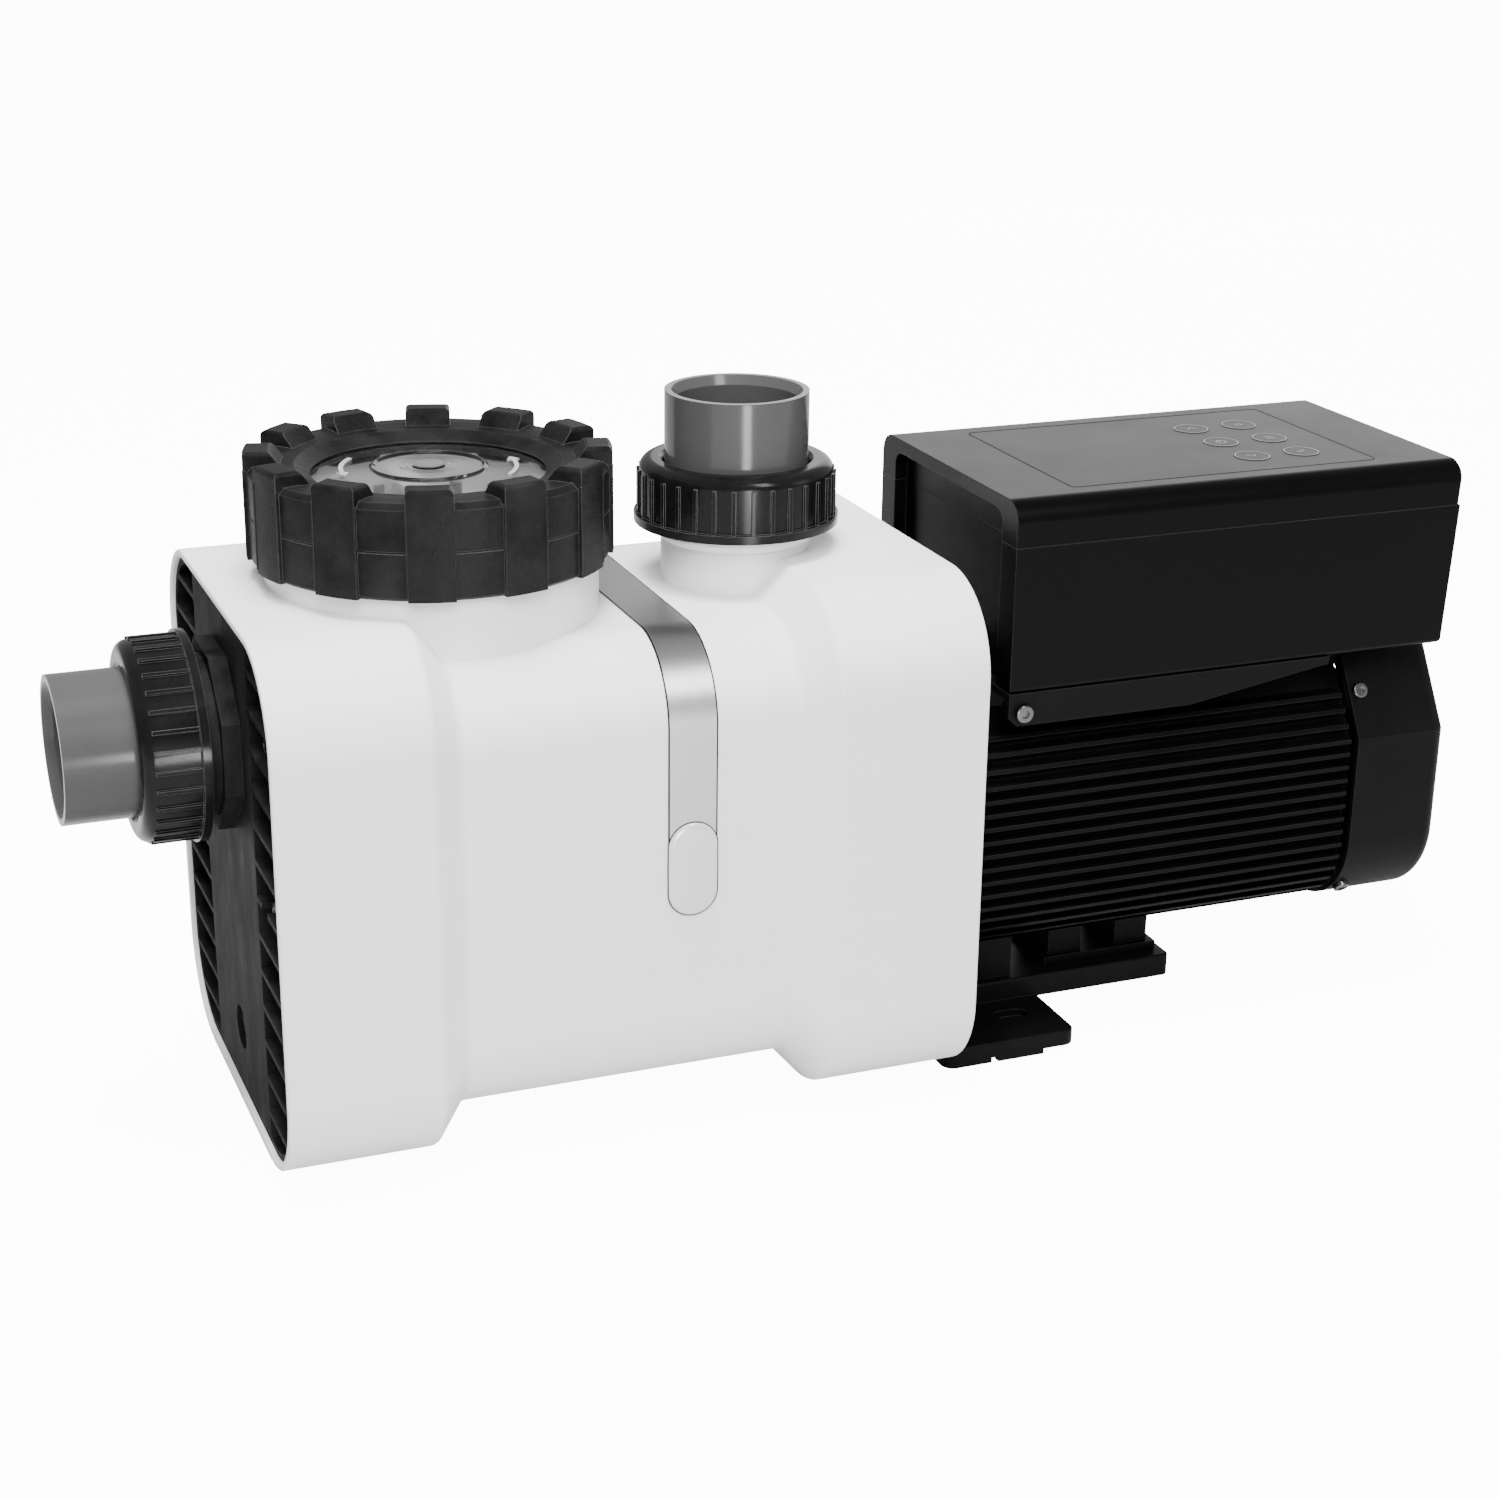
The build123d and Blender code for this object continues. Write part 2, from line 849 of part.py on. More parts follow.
def ring_lug():
    """One full-height lug of the lid ring, rounded on top and sloping down inwards."""
    inner = lug_radius - lug_depth
    top = ring_bottom + lug_height
    foot = ring_bottom + ring_rim_height - ring_dish
    ring = turned(
        (lug_radius, ring_bottom),
        (lug_radius, top),
        (inner, top),
        (inner - lug_slope, foot),
        (inner - lug_slope, ring_bottom),
    )
    half = lug_width / 2
    lug = ring & block(0, far, -half, half, 0, far)
    return fillet(lug.faces().sort_by(Axis.Z)[-1].edges(), lug_round)


def lid_ring():
    """Screw ring of the lid with its lugs."""
    rim = ring_bottom + ring_rim_height
    ring = turned(
        (ring_thread_radius, ring_bottom),
        (ring_radius - ring_chamfer / 2, ring_bottom),
        (ring_radius, ring_bottom + ring_chamfer / 2),
        (ring_radius, rim - ring_chamfer),
        (ring_radius - ring_chamfer, rim),
        (lug_radius - lug_depth, rim),
        (ring_lip_radius, rim - ring_dish),
        (ring_lip_bore, lip_underside + ring_lip_edge),
        (ring_lip_bore, lip_underside),
        (ring_thread_radius, lip_underside),
    )
    seam = ring_bottom + ring_rim_height / 2
    ring -= tube(far, ring_radius - ring_seam, seam - ring_seam, seam + ring_seam)
    skirt_clear = rod(ring_thread_radius, ring_bottom - lap, lip_underside)
    lugs = [lug - skirt_clear for lug in around(ring_lug(), lug_count, 180 / lug_count)]
    return strainer_axis(ring + lugs)


def basket_shell():
    """Side wall, floor and rim of the basket."""
    inner = basket_radius - basket_wall
    rim = chamber_radius - gap
    return turned(
        (0, basket_low),
        (basket_radius, basket_low),
        (basket_radius, ledge_level + gap),
        (rim, ledge_level + gap),
        (rim, basket_top),
        (inner, basket_top),
        (inner, basket_low + basket_wall),
        (0, basket_low + basket_wall),
    )


def strainer_basket():
    """Slotted basket with a suction window and a cross handle."""
    basket = basket_shell()
    rise = (ledge_level - basket_low) / basket_slot_rows
    slot_height = rise - basket_rib_height
    half = basket_slot_width / 2
    inside = basket_radius - basket_wall - lap
    for row in range(basket_slot_rows):
        low = basket_low + rise * row + basket_rib_height / 2
        slot = block(inside, basket_radius + lap, -half, half, low, low + slot_height)
        basket -= around(slot, basket_slot_count, 180 / basket_slot_count)
    half = basket_slot_width / 4
    floor_top = basket_low + basket_wall + lap
    floor_slot = block(2 * basket_slot_width, inside - basket_slot_width, -half, half, 0, floor_top)
    basket -= around(floor_slot, basket_slot_count // 2)
    window = Rot(0, -90, 0) * rod(union_bore + basket_window_margin, chamber_radius / 2, chamber_radius)
    basket -= Pos(0, 0, suction_height) * window
    width = basket_handle_width / 2
    inner = basket_radius - basket_wall / 2
    low = basket_top - basket_handle_drop
    bar = block(-width, width, -inner, inner, low, basket_top - basket_handle_top)
    reach = inner - basket_handle_width
    grip_top = basket_top - basket_handle_drop / 2
    grip = block(-basket_grip_half_width, basket_grip_half_width, -reach, reach, 0, grip_top)
    return strainer_axis(basket + (bar - grip))


# ---------------------------------------------------------------- unions


def union_nut():
    """Union nut with a flange and fine grip ribs."""
    inner = union_thread_radius + gap
    hole = tail_radius + 2 * gap
    lip = union_thread_height + tail_collar_height + 2 * gap
    nut = turned(
        (inner, 0),
        (union_flange_radius, 0),
        (union_flange_radius, union_flange_height),
        (union_nut_radius, union_flange_height),
        (union_nut_radius, union_nut_height),
        (hole + union_nut_chamfer, union_nut_height),
        (hole, union_nut_height - union_nut_chamfer),
        (hole, lip),
        (inner, lip),
    )
    nut = fillet(nut.edges().group_by(Axis.Z)[-1].sort_by(SortBy.RADIUS)[-1], union_nut_round)
    half = union_rib_width / 2
    inside = union_nut_radius - lap
    outside = union_nut_radius + union_rib_height
    rib = block(inside, outside, -half, half, union_flange_height - lap, union_rib_top)
    return nut + around(rib, union_rib_count)


def union_tail():
    """Union tail piece with a glue socket."""
    foot = union_thread_height + gap
    collar = foot + tail_collar_height
    stop = tail_length - socket_depth
    return turned(
        (union_bore, foot),
        (tail_collar_radius, foot),
        (tail_collar_radius, collar),
        (tail_radius, collar),
        (tail_radius, tail_length),
        (socket_radius + socket_chamfer, tail_length),
        (socket_radius, tail_length - 2 * socket_chamfer),
        (socket_radius, stop),
        (union_bore, stop),
    )


def discharge_adapter():
    """Threaded union end bonded on to the casing's neck."""
    socket = discharge_neck_radius
    adapter = turned(
        (socket, adapter_foot),
        (sleeve_radius, adapter_foot),
        (adapter_collar_radius, adapter_shoulder),
        (adapter_collar_radius, -gap),
        (union_thread_radius, -gap),
        (union_thread_radius, union_thread_height - thread_chamfer),
        (union_thread_radius - thread_chamfer, union_thread_height),
        (union_bore, union_thread_height),
        (union_bore, adapter_socket_depth),
        (socket, adapter_socket_depth),
    )
    return discharge_axis(adapter - union_groove())


# ---------------------------------------------------------------- end panel


def panel_outline(inset):
    """Outline of the end panel, inside the cover's rim."""
    return cover_section(panel_face, cover_wall + gap + inset, False)


def panel_ribs():
    """Horizontal ribs of both side fields."""
    ribs = Part()
    count = int(cover_height / panel_rib_pitch) + 1
    first = cover_middle - panel_rib_pitch * (count - 1) / 2
    for i in range(count):
        z = first + panel_rib_pitch * i
        for side in (-1, 1):
            y0, y1 = sorted((side * (panel_flat_half_width - lap), side * cover_width / 2))
            low = z - panel_rib_wall / 2
            high = z + panel_rib_wall / 2
            ribs += block(panel_face, panel_back, y0, y1, low, high)
    return ribs & extrude(panel_outline(lap), panel_depth, dir=(1, 0, 0))


def end_panel():
    """Ribbed end panel with the suction boss, drain recess and screw holes."""
    whole = extrude(panel_outline(0.0), panel_depth, dir=(1, 0, 0))
    depth = panel_depth - panel_skin
    field = extrude(panel_outline(panel_frame_wall), depth, dir=(1, 0, 0))
    half = panel_flat_half_width
    field -= block(cover_left - lap, panel_back + lap, -half, half, 0, far)
    panel = whole - field + panel_ribs()
    plane = Plane(origin=(panel_face, 0, suction_height), x_dir=(0, 1, 0), z_dir=(-1, 0, 0))
    octagon = plane * Rot(0, 0, 22.5) * RegularPolygon(panel_boss_flats / 2, 8, major_radius=False)
    panel += extrude(octagon, panel_boss_height)
    panel -= suction_axis(rod(union_thread_radius + gap, -strainer_offset, far))
    panel -= drain_axis(rod(drain_bore + drain_tube_wall + gap, -lap, far))
    for y, z in panel_screw_places():
        seat = Pos(panel_back - panel_skin, y, z) * Rot(0, -90, 0)
        panel -= seat * rod(panel_screw_head_radius + panel_pocket_gap, 0, far)
        panel -= seat * rod(panel_screw_radius + gap, -far, lap)
    return panel


def end_panel_screws():
    """Screws that hold the end panel."""
    one = screw(
        panel_screw_radius,
        panel_skin + panel_plate_wall,
        panel_screw_head_radius,
        panel_screw_head_height,
    )
    screws = Part()
    for y, z in panel_screw_places():
        screws += Pos(panel_back - panel_skin, y, z) * Rot(0, -90, 0) * one
    return screws


def drain_axis(part):
    """Lay a part made about Z along -X on the drain's axis, height 0 going to the tube's mouth."""
    return Pos(panel_back, 0, drain_height) * Rot(0, -90, 0) * part


def drain_seat():
    """Height of the drain plug's head above the tube's mouth."""
    return seal_section + 2 * ring_squeeze


def drain_o_ring():
    """Seal ring under the drain plug's head."""
    inner = drain_bore + ring_squeeze
    return drain_axis(seal_ring(inner, inner + seal_section, seal_section / 2 + ring_squeeze))


def drain_plug():
    """Drain plug with a slotted head."""
    seat = drain_seat()
    plug = rod(drain_bore, seat - drain_shank_length, seat)
    plug += rod(drain_head_radius, seat, seat + drain_head_height)
    plug = chamfer(plug.edges().group_by(Axis.Z)[-1], drain_chamfer)
    half = drain_slot_width / 2
    top = seat + drain_head_height
    slot = block(-far, far, -half, half, top - drain_slot_depth, top + lap)
    return drain_axis(plug - slot)


# ---------------------------------------------------------------- pump casing


def casing_bolt_places(part):
    """Copies of a part round the casing's flange."""
    start = 180 / casing_bolt_count
    return around(Pos(casing_bolt_circle, 0, 0) * part, casing_bolt_count, start)


def pump_casing():
    """Casing with inlet spigot and discharge neck."""
    outer = casing_bore + casing_wall
    end = casing_half_length
    shell = on_shaft(
        turned(
            (0, -end),
            (casing_bore, -end),
            (outer, casing_wall - end),
            (outer, end - casing_flange_wall),
            (casing_flange_radius, end - casing_flange_wall),
            (casing_flange_radius, end),
            (0, end),
        )
        + rod(spigot_radius, spigot_end, lap - end)
    )
    neck_end = discharge_union_height + adapter_socket_depth
    shell += rod(discharge_neck_radius, shaft_height, neck_end)
    shell -= on_shaft(rod(casing_bore, casing_wall - end, end + lap))
    shell -= on_shaft(rod(union_bore, spigot_end - lap, end))
    shell -= rod(union_bore, shaft_height, neck_end + lap)
    shell -= on_shaft(inlet_groove())
    hole = rod(casing_bolt_radius + gap, 0, end + lap)
    return shell - [on_shaft(h) for h in casing_bolt_places(hole)]


def inlet_groove():
    """Groove round the casing's spigot."""
    middle = (spigot_end + outlet_end) / 2
    half = seal_section / 2 + groove_gap
    floor = outlet_socket_radius - seal_section
    return tube(spigot_radius + lap, floor, middle - half, middle + half)


def inlet_o_ring():
    """Seal ring between strainer and casing."""
    floor = outlet_socket_radius - seal_section
    middle = (spigot_end + outlet_end) / 2
    ring = seal_ring(floor + ring_squeeze, outlet_socket_radius - ring_squeeze, middle)
    return on_shaft(ring)


def vane_arc(start, end, sweep):
    """Arc from one radius to another that leans over by an angle on its way."""
    middle = (start + end) / 2
    bend = radians(sweep * vane_bend)
    turn = radians(sweep)
    return ThreePointArc(
        (start, 0),
        (middle * cos(bend), middle * sin(bend)),
        (end * cos(turn), end * sin(turn)),
    )


def diffuser():
    """Guide plate on the casing's front wall with curved vanes round the impeller."""
    left = -casing_half_length + casing_wall
    eye = impeller_eye + impeller_eye_wall + gap
    outer = casing_bore - gap
    body = tube(outer, eye, left, left + diffuser_plate_wall)
    arc = vane_arc(impeller_radius + diffuser_vane_gap, outer - diffuser_vane_wall, diffuser_vane_sweep)
    vane = extrude(SlotArc(arc, diffuser_vane_wall), diffuser_vane_length)
    body += around(Pos(0, 0, left) * vane, diffuser_vane_count)
    return on_shaft(body)


def impeller():
    """Closed impeller with backward curved vanes."""
    front = impeller_front
    back = impeller_back
    eye = impeller_eye
    wall = impeller_plate_wall
    body = tube(impeller_radius, eye, front, front + wall)
    body += tube(eye + impeller_eye_wall, eye, front - impeller_eye_length, front + wall)
    body += tube(impeller_radius, shaft_wet_radius, back - wall, back)
    body += tube(impeller_hub_radius, shaft_wet_radius, front + wall, impeller_hub_end)
    tip = impeller_radius - impeller_vane_wall
    arc = vane_arc(impeller_hub_radius + lap, tip, impeller_vane_sweep)
    vane = extrude(SlotArc(arc, impeller_vane_wall), impeller_width - wall)
    body += around(Pos(0, 0, front + wall / 2) * vane, impeller_vane_count)
    return on_shaft(body)


def seal_rotating():
    """Turning half of the shaft seal."""
    end = impeller_hub_end + seal_ring_length
    step = seal_ring_step
    ring = turned(
        (shaft_wet_radius, impeller_hub_end),
        (seal_ring_radius - step, impeller_hub_end),
        (seal_ring_radius, impeller_hub_end + step),
        (seal_ring_radius, end - step),
        (seal_ring_radius - step, end - step),
        (seal_ring_radius - step, end),
        (shaft_wet_radius, end),
    )
    return on_shaft(ring)


def seal_seat():
    """Fixed half of the shaft seal, pressed into the seal housing."""
    return on_shaft(tube(seat_radius, seat_bore, seat_left, seat_end))


def seal_housing():
    """Plate that closes the casing on the motor side."""
    left = casing_half_length
    right = seal_housing_right
    spigot = casing_bore - press_gap
    body = turned(
        (seat_bore, seat_end),
        (seat_radius, seat_end),
        (seat_radius, left - seal_housing_spigot),
        (spigot, left - seal_housing_spigot),
        (spigot, left),
        (casing_flange_radius, left),
        (casing_flange_radius, right),
        (seat_bore, right),
    )
    floor = casing_bore - casing_ring_section
    middle = left - seal_housing_spigot / 2
    half = casing_ring_section / 2 + groove_gap
    body -= tube(spigot + lap, floor, middle - half, middle + half)
    body -= casing_bolt_places(rod(casing_bolt_radius, left - lap, right + lap))
    return on_shaft(body)


def casing_o_ring():
    """Seal ring between casing and seal housing."""
    floor = casing_bore - casing_ring_section
    middle = casing_half_length - seal_housing_spigot / 2
    return on_shaft(seal_ring(floor + ring_squeeze, casing_bore - ring_squeeze, middle))


def casing_bolts():
    """Bolts through casing, seal housing and motor flange."""
    length = casing_flange_wall + seal_housing_wall + flange_plate_wall
    one = screw(casing_bolt_radius, length, casing_bolt_head_radius, casing_bolt_head_height)
    one = Rot(180, 0, 0) * one
    seat = casing_half_length - casing_flange_wall
    return Part() + [on_shaft(Pos(0, 0, seat) * b) for b in casing_bolt_places(one)]


# ---------------------------------------------------------------- motor


def motor_section():
    """Outline of the motor across the shaft: flat sides, round lower corners, sloped shoulders."""
    half = motor_half_width
    low = motor_low
    corner = motor_low_corner
    top = motor_top_half_width
    lines = Polyline(
        (half, low + corner),
        (half, motor_side_top),
        (top, motor_top),
        (-top, motor_top),
        (-half, motor_side_top),
        (-half, low + corner),
    )
    lines += RadiusArc((-half, low + corner), (-half + corner, low), -corner)
    lines += Line((-half + corner, low), (half - corner, low))
    lines += RadiusArc((half - corner, low), (half, low + corner), -corner)
    return Plane.YZ * make_face(lines)


def motor_prism(inset, x0, x1):
    """Length of the motor's outline, moved inwards by inset."""
    outline = offset(motor_section(), -inset) if inset else motor_section()
    return Pos(x0, 0, 0) * extrude(outline, x1 - x0, dir=(1, 0, 0))


def motor_flange():
    """Front end shield that carries casing and front bearing."""
    left = seal_housing_right
    right = motor_front
    bell = flange_bell_radius
    inside = bell - flange_bell_wall
    floor = left + flange_plate_wall + flange_bell_depth
    lip = front_bearing_radius - bearing_lip
    seat = front_bearing_radius + bearing_seat_wall
    spigot = motor_bore - spigot_length
    body = on_shaft(
        turned(
            (lip, floor),
            (inside, floor),
            (inside, left),
            (casing_flange_radius, left),
            (casing_flange_radius, left + flange_plate_wall),
            (bell, left + flange_plate_wall),
            (bell, right - flange_plate_wall),
            (motor_bore, right - flange_plate_wall),
            (motor_bore, right + spigot_length),
            (spigot, right + spigot_length),
            (spigot, right - spigot_length),
            (seat, right - spigot_length),
            (seat, right),
            (front_bearing_radius, right),
            (front_bearing_radius, front_bearing_left),
            (lip, front_bearing_left),
        )
    )
    plate = motor_prism(lap, right - flange_plate_wall, right)
    body += plate - on_shaft(rod(motor_bore - lap, right - flange_length, right + lap))
    hole = rod(casing_bolt_radius, left - lap, left + flange_plate_wall + lap)
    return body - [on_shaft(h) for h in casing_bolt_places(hole)]


def motor_fins():
    """Horizontal cooling fins, cut to the motor's outline."""
    left = motor_front + fin_end_margin
    right = motor_rear - fin_end_margin
    half = motor_half_width + lap
    plates = Part()
    for i in range(fin_count):
        z = motor_low + fin_first_rise + fin_pitch * i
        plates += block(left, right, -half, half, z - fin_wall / 2, z + fin_wall / 2)
    return plates & motor_prism(0.0, left, right)


def foot_screw_places():
    """Centres of the screws between foot and motor as (x, y)."""
    x = foot_left + (foot_post_inset + foot_post_length) / 2
    half = foot_screw_spacing / 2
    return [(x, -half), (x, half)]


def motor_housing():
    """Finned motor housing with a foot rail and a top pad."""
    body = motor_prism(fin_depth, motor_front, motor_rear)
    body += motor_fins()
    rail = motor_rail_half_width
    top = motor_top_half_width
    depth = fin_depth + lap
    body += block(motor_front, motor_rear, -rail, rail, motor_low, motor_low + depth)
    body += block(motor_front, motor_rear, -top, top, motor_top - depth, motor_top)
    body -= on_shaft(rod(motor_bore, motor_front - lap, motor_rear + lap))
    for x, y in foot_screw_places():
        body -= Pos(x, y, motor_low) * rod(foot_screw_radius, -lap, foot_screw_depth)
    return body


def stator():
    """Stator core with slots on its inner face."""
    inner = rotor_radius + air_gap
    core = tube(motor_bore, inner, stator_left, stator_right)
    half = stator_slot_width / 2
    depth = inner + stator_slot_depth
    slot = block(inner - lap, depth, -half, half, stator_left - lap, stator_right + lap)
    return on_shaft(core - around(slot, stator_slot_count))


def windings():
    """Both winding heads of the stator."""
    inner = rotor_radius + air_gap + winding_inset
    outer = inner + winding_wall
    soft = winding_round
    heads = []
    for face, way in ((stator_left, -1), (stator_right, 1)):
        end = face + way * winding_length
        head = turned(
            (inner, face),
            (outer, face),
            (outer, end - way * soft),
            (outer - soft, end),
            (inner + soft, end),
            (inner, end - way * soft),
        )
        heads.append(on_shaft(head))
    return Part() + heads


def rotor_core():
    """Squirrel-cage rotor with end rings and small vanes."""
    core = tube(rotor_radius, shaft_core_radius, stator_left, stator_right)
    outer = rotor_radius - stator_slot_width
    for low in (stator_left - cage_ring_length, stator_right):
        core += tube(outer, outer - cage_ring_wall, low, low + cage_ring_length)
    return on_shaft(core)


def shaft():
    """Stepped shaft from impeller to fan."""
    collar = motor_front + gap
    shaft_start = impeller_front + impeller_plate_wall
    rear = rear_bearing_left - gap
    fan_start = rear_bearing_left + rear_bearing_width - gap
    steps = (
        (shaft_start, shaft_wet_radius),
        (seal_housing_right, shaft_front_radius),
        (collar, shaft_collar_radius),
        (collar + collar_length, shaft_core_radius),
        (rear, shaft_rear_radius),
        (fan_start, shaft_fan_radius),
        (shaft_end, 0),
    )
    points = [(0, steps[0][0])]
    for (start, radius), (end, _) in zip(steps, steps[1:]):
        points += [(radius, start), (radius, end)]
    points.append((0, shaft_end))
    return on_shaft(turned(*points))


def bearing(outer, bore, left, width):
    """Ball bearing with the gaps between its rings as shallow grooves."""
    ring = tube(outer, bore, left, left + width)
    race = (outer - bore) * bearing_race
    right = left + width
    for low, high in ((left - lap, left + bearing_groove), (right - bearing_groove, right + lap)):
        ring -= tube(outer - race, bore + race, low, high)
    return on_shaft(ring)


def front_bearing():
    """Bearing at the pump end."""
    bore = shaft_front_radius + run_gap
    return bearing(front_bearing_radius, bore, front_bearing_left, front_bearing_width)


def rear_bearing():
    """Bearing at the fan end."""
    bore = shaft_rear_radius + run_gap
    return bearing(rear_bearing_radius, bore, rear_bearing_left, rear_bearing_width)


def slinger():
    """Rubber water slinger on the shaft."""
    return on_shaft(
        turned(
            (shaft_front_radius, slinger_left),
            (slinger_radius, slinger_left + slinger_width / 2),
            (slinger_radius, slinger_left + slinger_width),
            (shaft_front_radius, slinger_left + slinger_width),
        )
    )


def cowl_screw_planes():
    """Planes on the cowl's outside at its four screws, normal outwards."""
    rise = motor_top - motor_side_top
    run = motor_half_width - motor_top_half_width
    length = hypot(rise, run)
    share = (cowl_screw_rise - motor_side_top) / rise
    upper_y = motor_half_width - run * share
    corner_y = motor_half_width - motor_low_corner + motor_low_corner * cos(radians(45))
    corner_z = motor_low + motor_low_corner - motor_low_corner * sin(radians(45))
    spots = (
        (upper_y, cowl_screw_rise, rise / length, run / length),
        (corner_y, corner_z, cos(radians(45)), -sin(radians(45))),
    )
    planes = []
    for y, z, ny, nz in spots:
        for side in (-1, 1):
            origin = (rear_lug_x, side * (y + cowl_outset * ny), z + cowl_outset * nz)
            planes.append(Plane(origin=origin, x_dir=(1, 0, 0), z_dir=(0, side * ny, nz)))
    return planes


def rear_shield():
    """Rear end shield with bearing hub and four lugs for the cowl."""
    left = motor_rear - rear_hub_length
    bore_end = rear_bearing_left + rear_bearing_width
    right = motor_rear + rear_shield_wall
    web = motor_rear - shield_web_wall
    spigot = motor_bore - spigot_length
    rim = motor_bore + rear_shield_lip
    body = turned(
        (rear_bearing_radius, left),
        (rear_hub_radius, left),
        (rear_hub_radius, web),
        (spigot, web),
        (spigot, motor_rear - spigot_length),
        (motor_bore, motor_rear - spigot_length),
        (motor_bore, motor_rear),
        (rim, motor_rear),
        (rim, right),
        (shaft_fan_radius + lap, right),
        (shaft_fan_radius + lap, bore_end),
        (rear_bearing_radius, bore_end),
    )
    body = on_shaft(body)
    inside = motor_prism(cowl_wall - cowl_outset + gap, motor_rear, motor_rear + lug_block_length)
    lug = Box(2 * lug_block_length, lug_block_width, 2 * lug_block_depth)
    for plane in cowl_screw_planes():
        body += ((plane * lug) & inside) - on_shaft(rod(spigot, 0, far))
        body -= plane * rod(cowl_screw_radius, -lug_block_depth, lap)
    return body


def fan_cowl():
    """Fan cowl with an air grille and a raised top under the box."""
    left = motor_rear
    right = cowl_rear
    outer = motor_prism(-cowl_outset, left, right)
    outer = fillet(outer.faces().sort_by(Axis.X)[-1].edges(), cowl_round)
    top = cowl_top_half_width
    outer += block(left, left + cowl_top_length, -top, top, motor_top - cowl_top_depth, box_bottom)
    inner = motor_prism(cowl_wall - cowl_outset, left - lap, right - cowl_wall)
    cowl = outer - inner
    half = grille_slot_width / 2
    low = right - cowl_wall - lap
    slot = block(grille_inner_radius, grille_outer_radius, -half, half, low, right + lap)
    cowl -= [on_shaft(s) for s in around(slot, grille_slot_count)]
    for plane in cowl_screw_planes():
        cowl -= plane * rod(cowl_screw_radius + gap, -cowl_screw_length, cowl_screw_length)
    return cowl


def cowl_screws():
    """Screws that hold the cowl to the rear shield."""
    one = screw(
        cowl_screw_radius, cowl_screw_length, cowl_screw_head_radius, cowl_screw_head_height
    )
    return Part() + [plane * one for plane in cowl_screw_planes()]


def fan():
    """Radial fan on the shaft's rear end."""
    left = cowl_rear - fan_clearance - fan_hub_length
    hub = tube(fan_hub_radius, shaft_fan_radius, left, left + fan_hub_length)
    disc = tube(fan_radius, shaft_fan_radius, left, left + fan_disc_wall)
    half = fan_blade_wall / 2
    blade = block(fan_hub_radius - lap, fan_radius, -half, half, left, left + fan_width)
    return on_shaft(hub + disc + around(blade, fan_blade_count))


# ---------------------------------------------------------------- control box


def box_profile(low, high, inset):
    """Side outline of the box between two heights, its motor end leaning out upwards."""
    rise = box_top - box_bottom

    def end(z):
        return box_right - box_taper * (box_top - z) / rise - inset

    left = box_left + inset
    points = Polyline((left, low), (end(low), low), (end(high), high), (left, high), close=True)
    return Plane.XZ * make_face(points)


def box_body(low, high, inset):
    """Solid of the box between two heights."""
    half = box_half_width - inset
    return Pos(0, half, 0) * extrude(box_profile(low, high, inset), 2 * half, dir=(0, -1, 0))


def hood_recess():
    """Recess of the box's left end, leaving a rim over it and down both sides."""
    half = box_half_width - hood_side_wall
    plane = Plane(origin=(box_left - lap, 0, 0), x_dir=(0, 1, 0), z_dir=(1, 0, 0))
    high = box_top - hood_top_wall
    low = box_bottom - 2 * hood_inner_round
    outline = plane * Pos(0, (low + high) / 2) * RectangleRounded(
        2 * half, high - low, hood_inner_round
    )
    return extrude(outline, hood_depth + lap)


def hood_zone():
    """Stretch of the box taken by its recessed end and the wall behind it."""
    return block(box_left - lap, box_left + hood_depth + box_wall, -far, far, 0, far)


def inverter_base():
    """Lower part of the control box, hollow, with posts for the board."""
    body = box_body(box_bottom, box_seam, 0.0)
    body = fillet(body.edges().group_by(Axis.Z)[0], box_bottom_round) - hood_recess()
    body -= box_body(box_bottom + box_wall, box_seam + lap, box_wall) - hood_zone()
    for x, y in board_posts():
        body += Pos(x, y, 0) * rod(board_post_radius, box_bottom, box_bottom + board_rise)
    hole = Pos(gland_x, box_half_width, gland_height) * Rot(-90, 0, 0)
    return body - hole * rod(gland_radius, -2 * box_wall, lap)


def board_span():
    """Left, right and half width of the control board."""
    left = box_left + hood_depth + board_margin
    right = box_right - box_taper - board_margin
    return left, right, box_half_width - board_margin


def board_posts():
    """Centres of the board's posts."""
    left, right, half = board_span()
    inset = board_post_margin
    return [(x, side * (half - inset)) for x in (left + inset, right - inset) for side in (-1, 1)]


def control_board():
    """Circuit board with capacitors and a heat sink block."""
    left, right, half = board_span()
    low = box_bottom + board_rise
    top = low + board_wall
    board = block(left, right, -half, half, low, top)
    sink_left = left + board_sink_left
    sink_right = sink_left + board_sink_length
    half = board_sink_half_width
    board += block(sink_left, sink_right, -half, half, top, top + board_sink_height)
    for step in (-1.5, -0.5, 0.5, 1.5):
        place = Pos(right - board_can_margin, step * board_can_pitch, 0)
        board += place * rod(board_can_radius, top, top + board_can_height)
    return board


def key_places():
    """Centres of the keys as (x, y), row by row from the front."""
    rows = [key_centre_y + key_pitch_y * row for row in (-1, 0, 1)]
    return [(key_first_x + key_pitch_x * column, y) for y in rows for column in (0, 1)]


def keypad_outline():
    """Outline of the keypad foil."""
    centre = keypad_left + keypad_length / 2
    return Pos(centre, 0, 0) * RectangleRounded(
        keypad_length, 2 * keypad_half_width, keypad_corner
    )


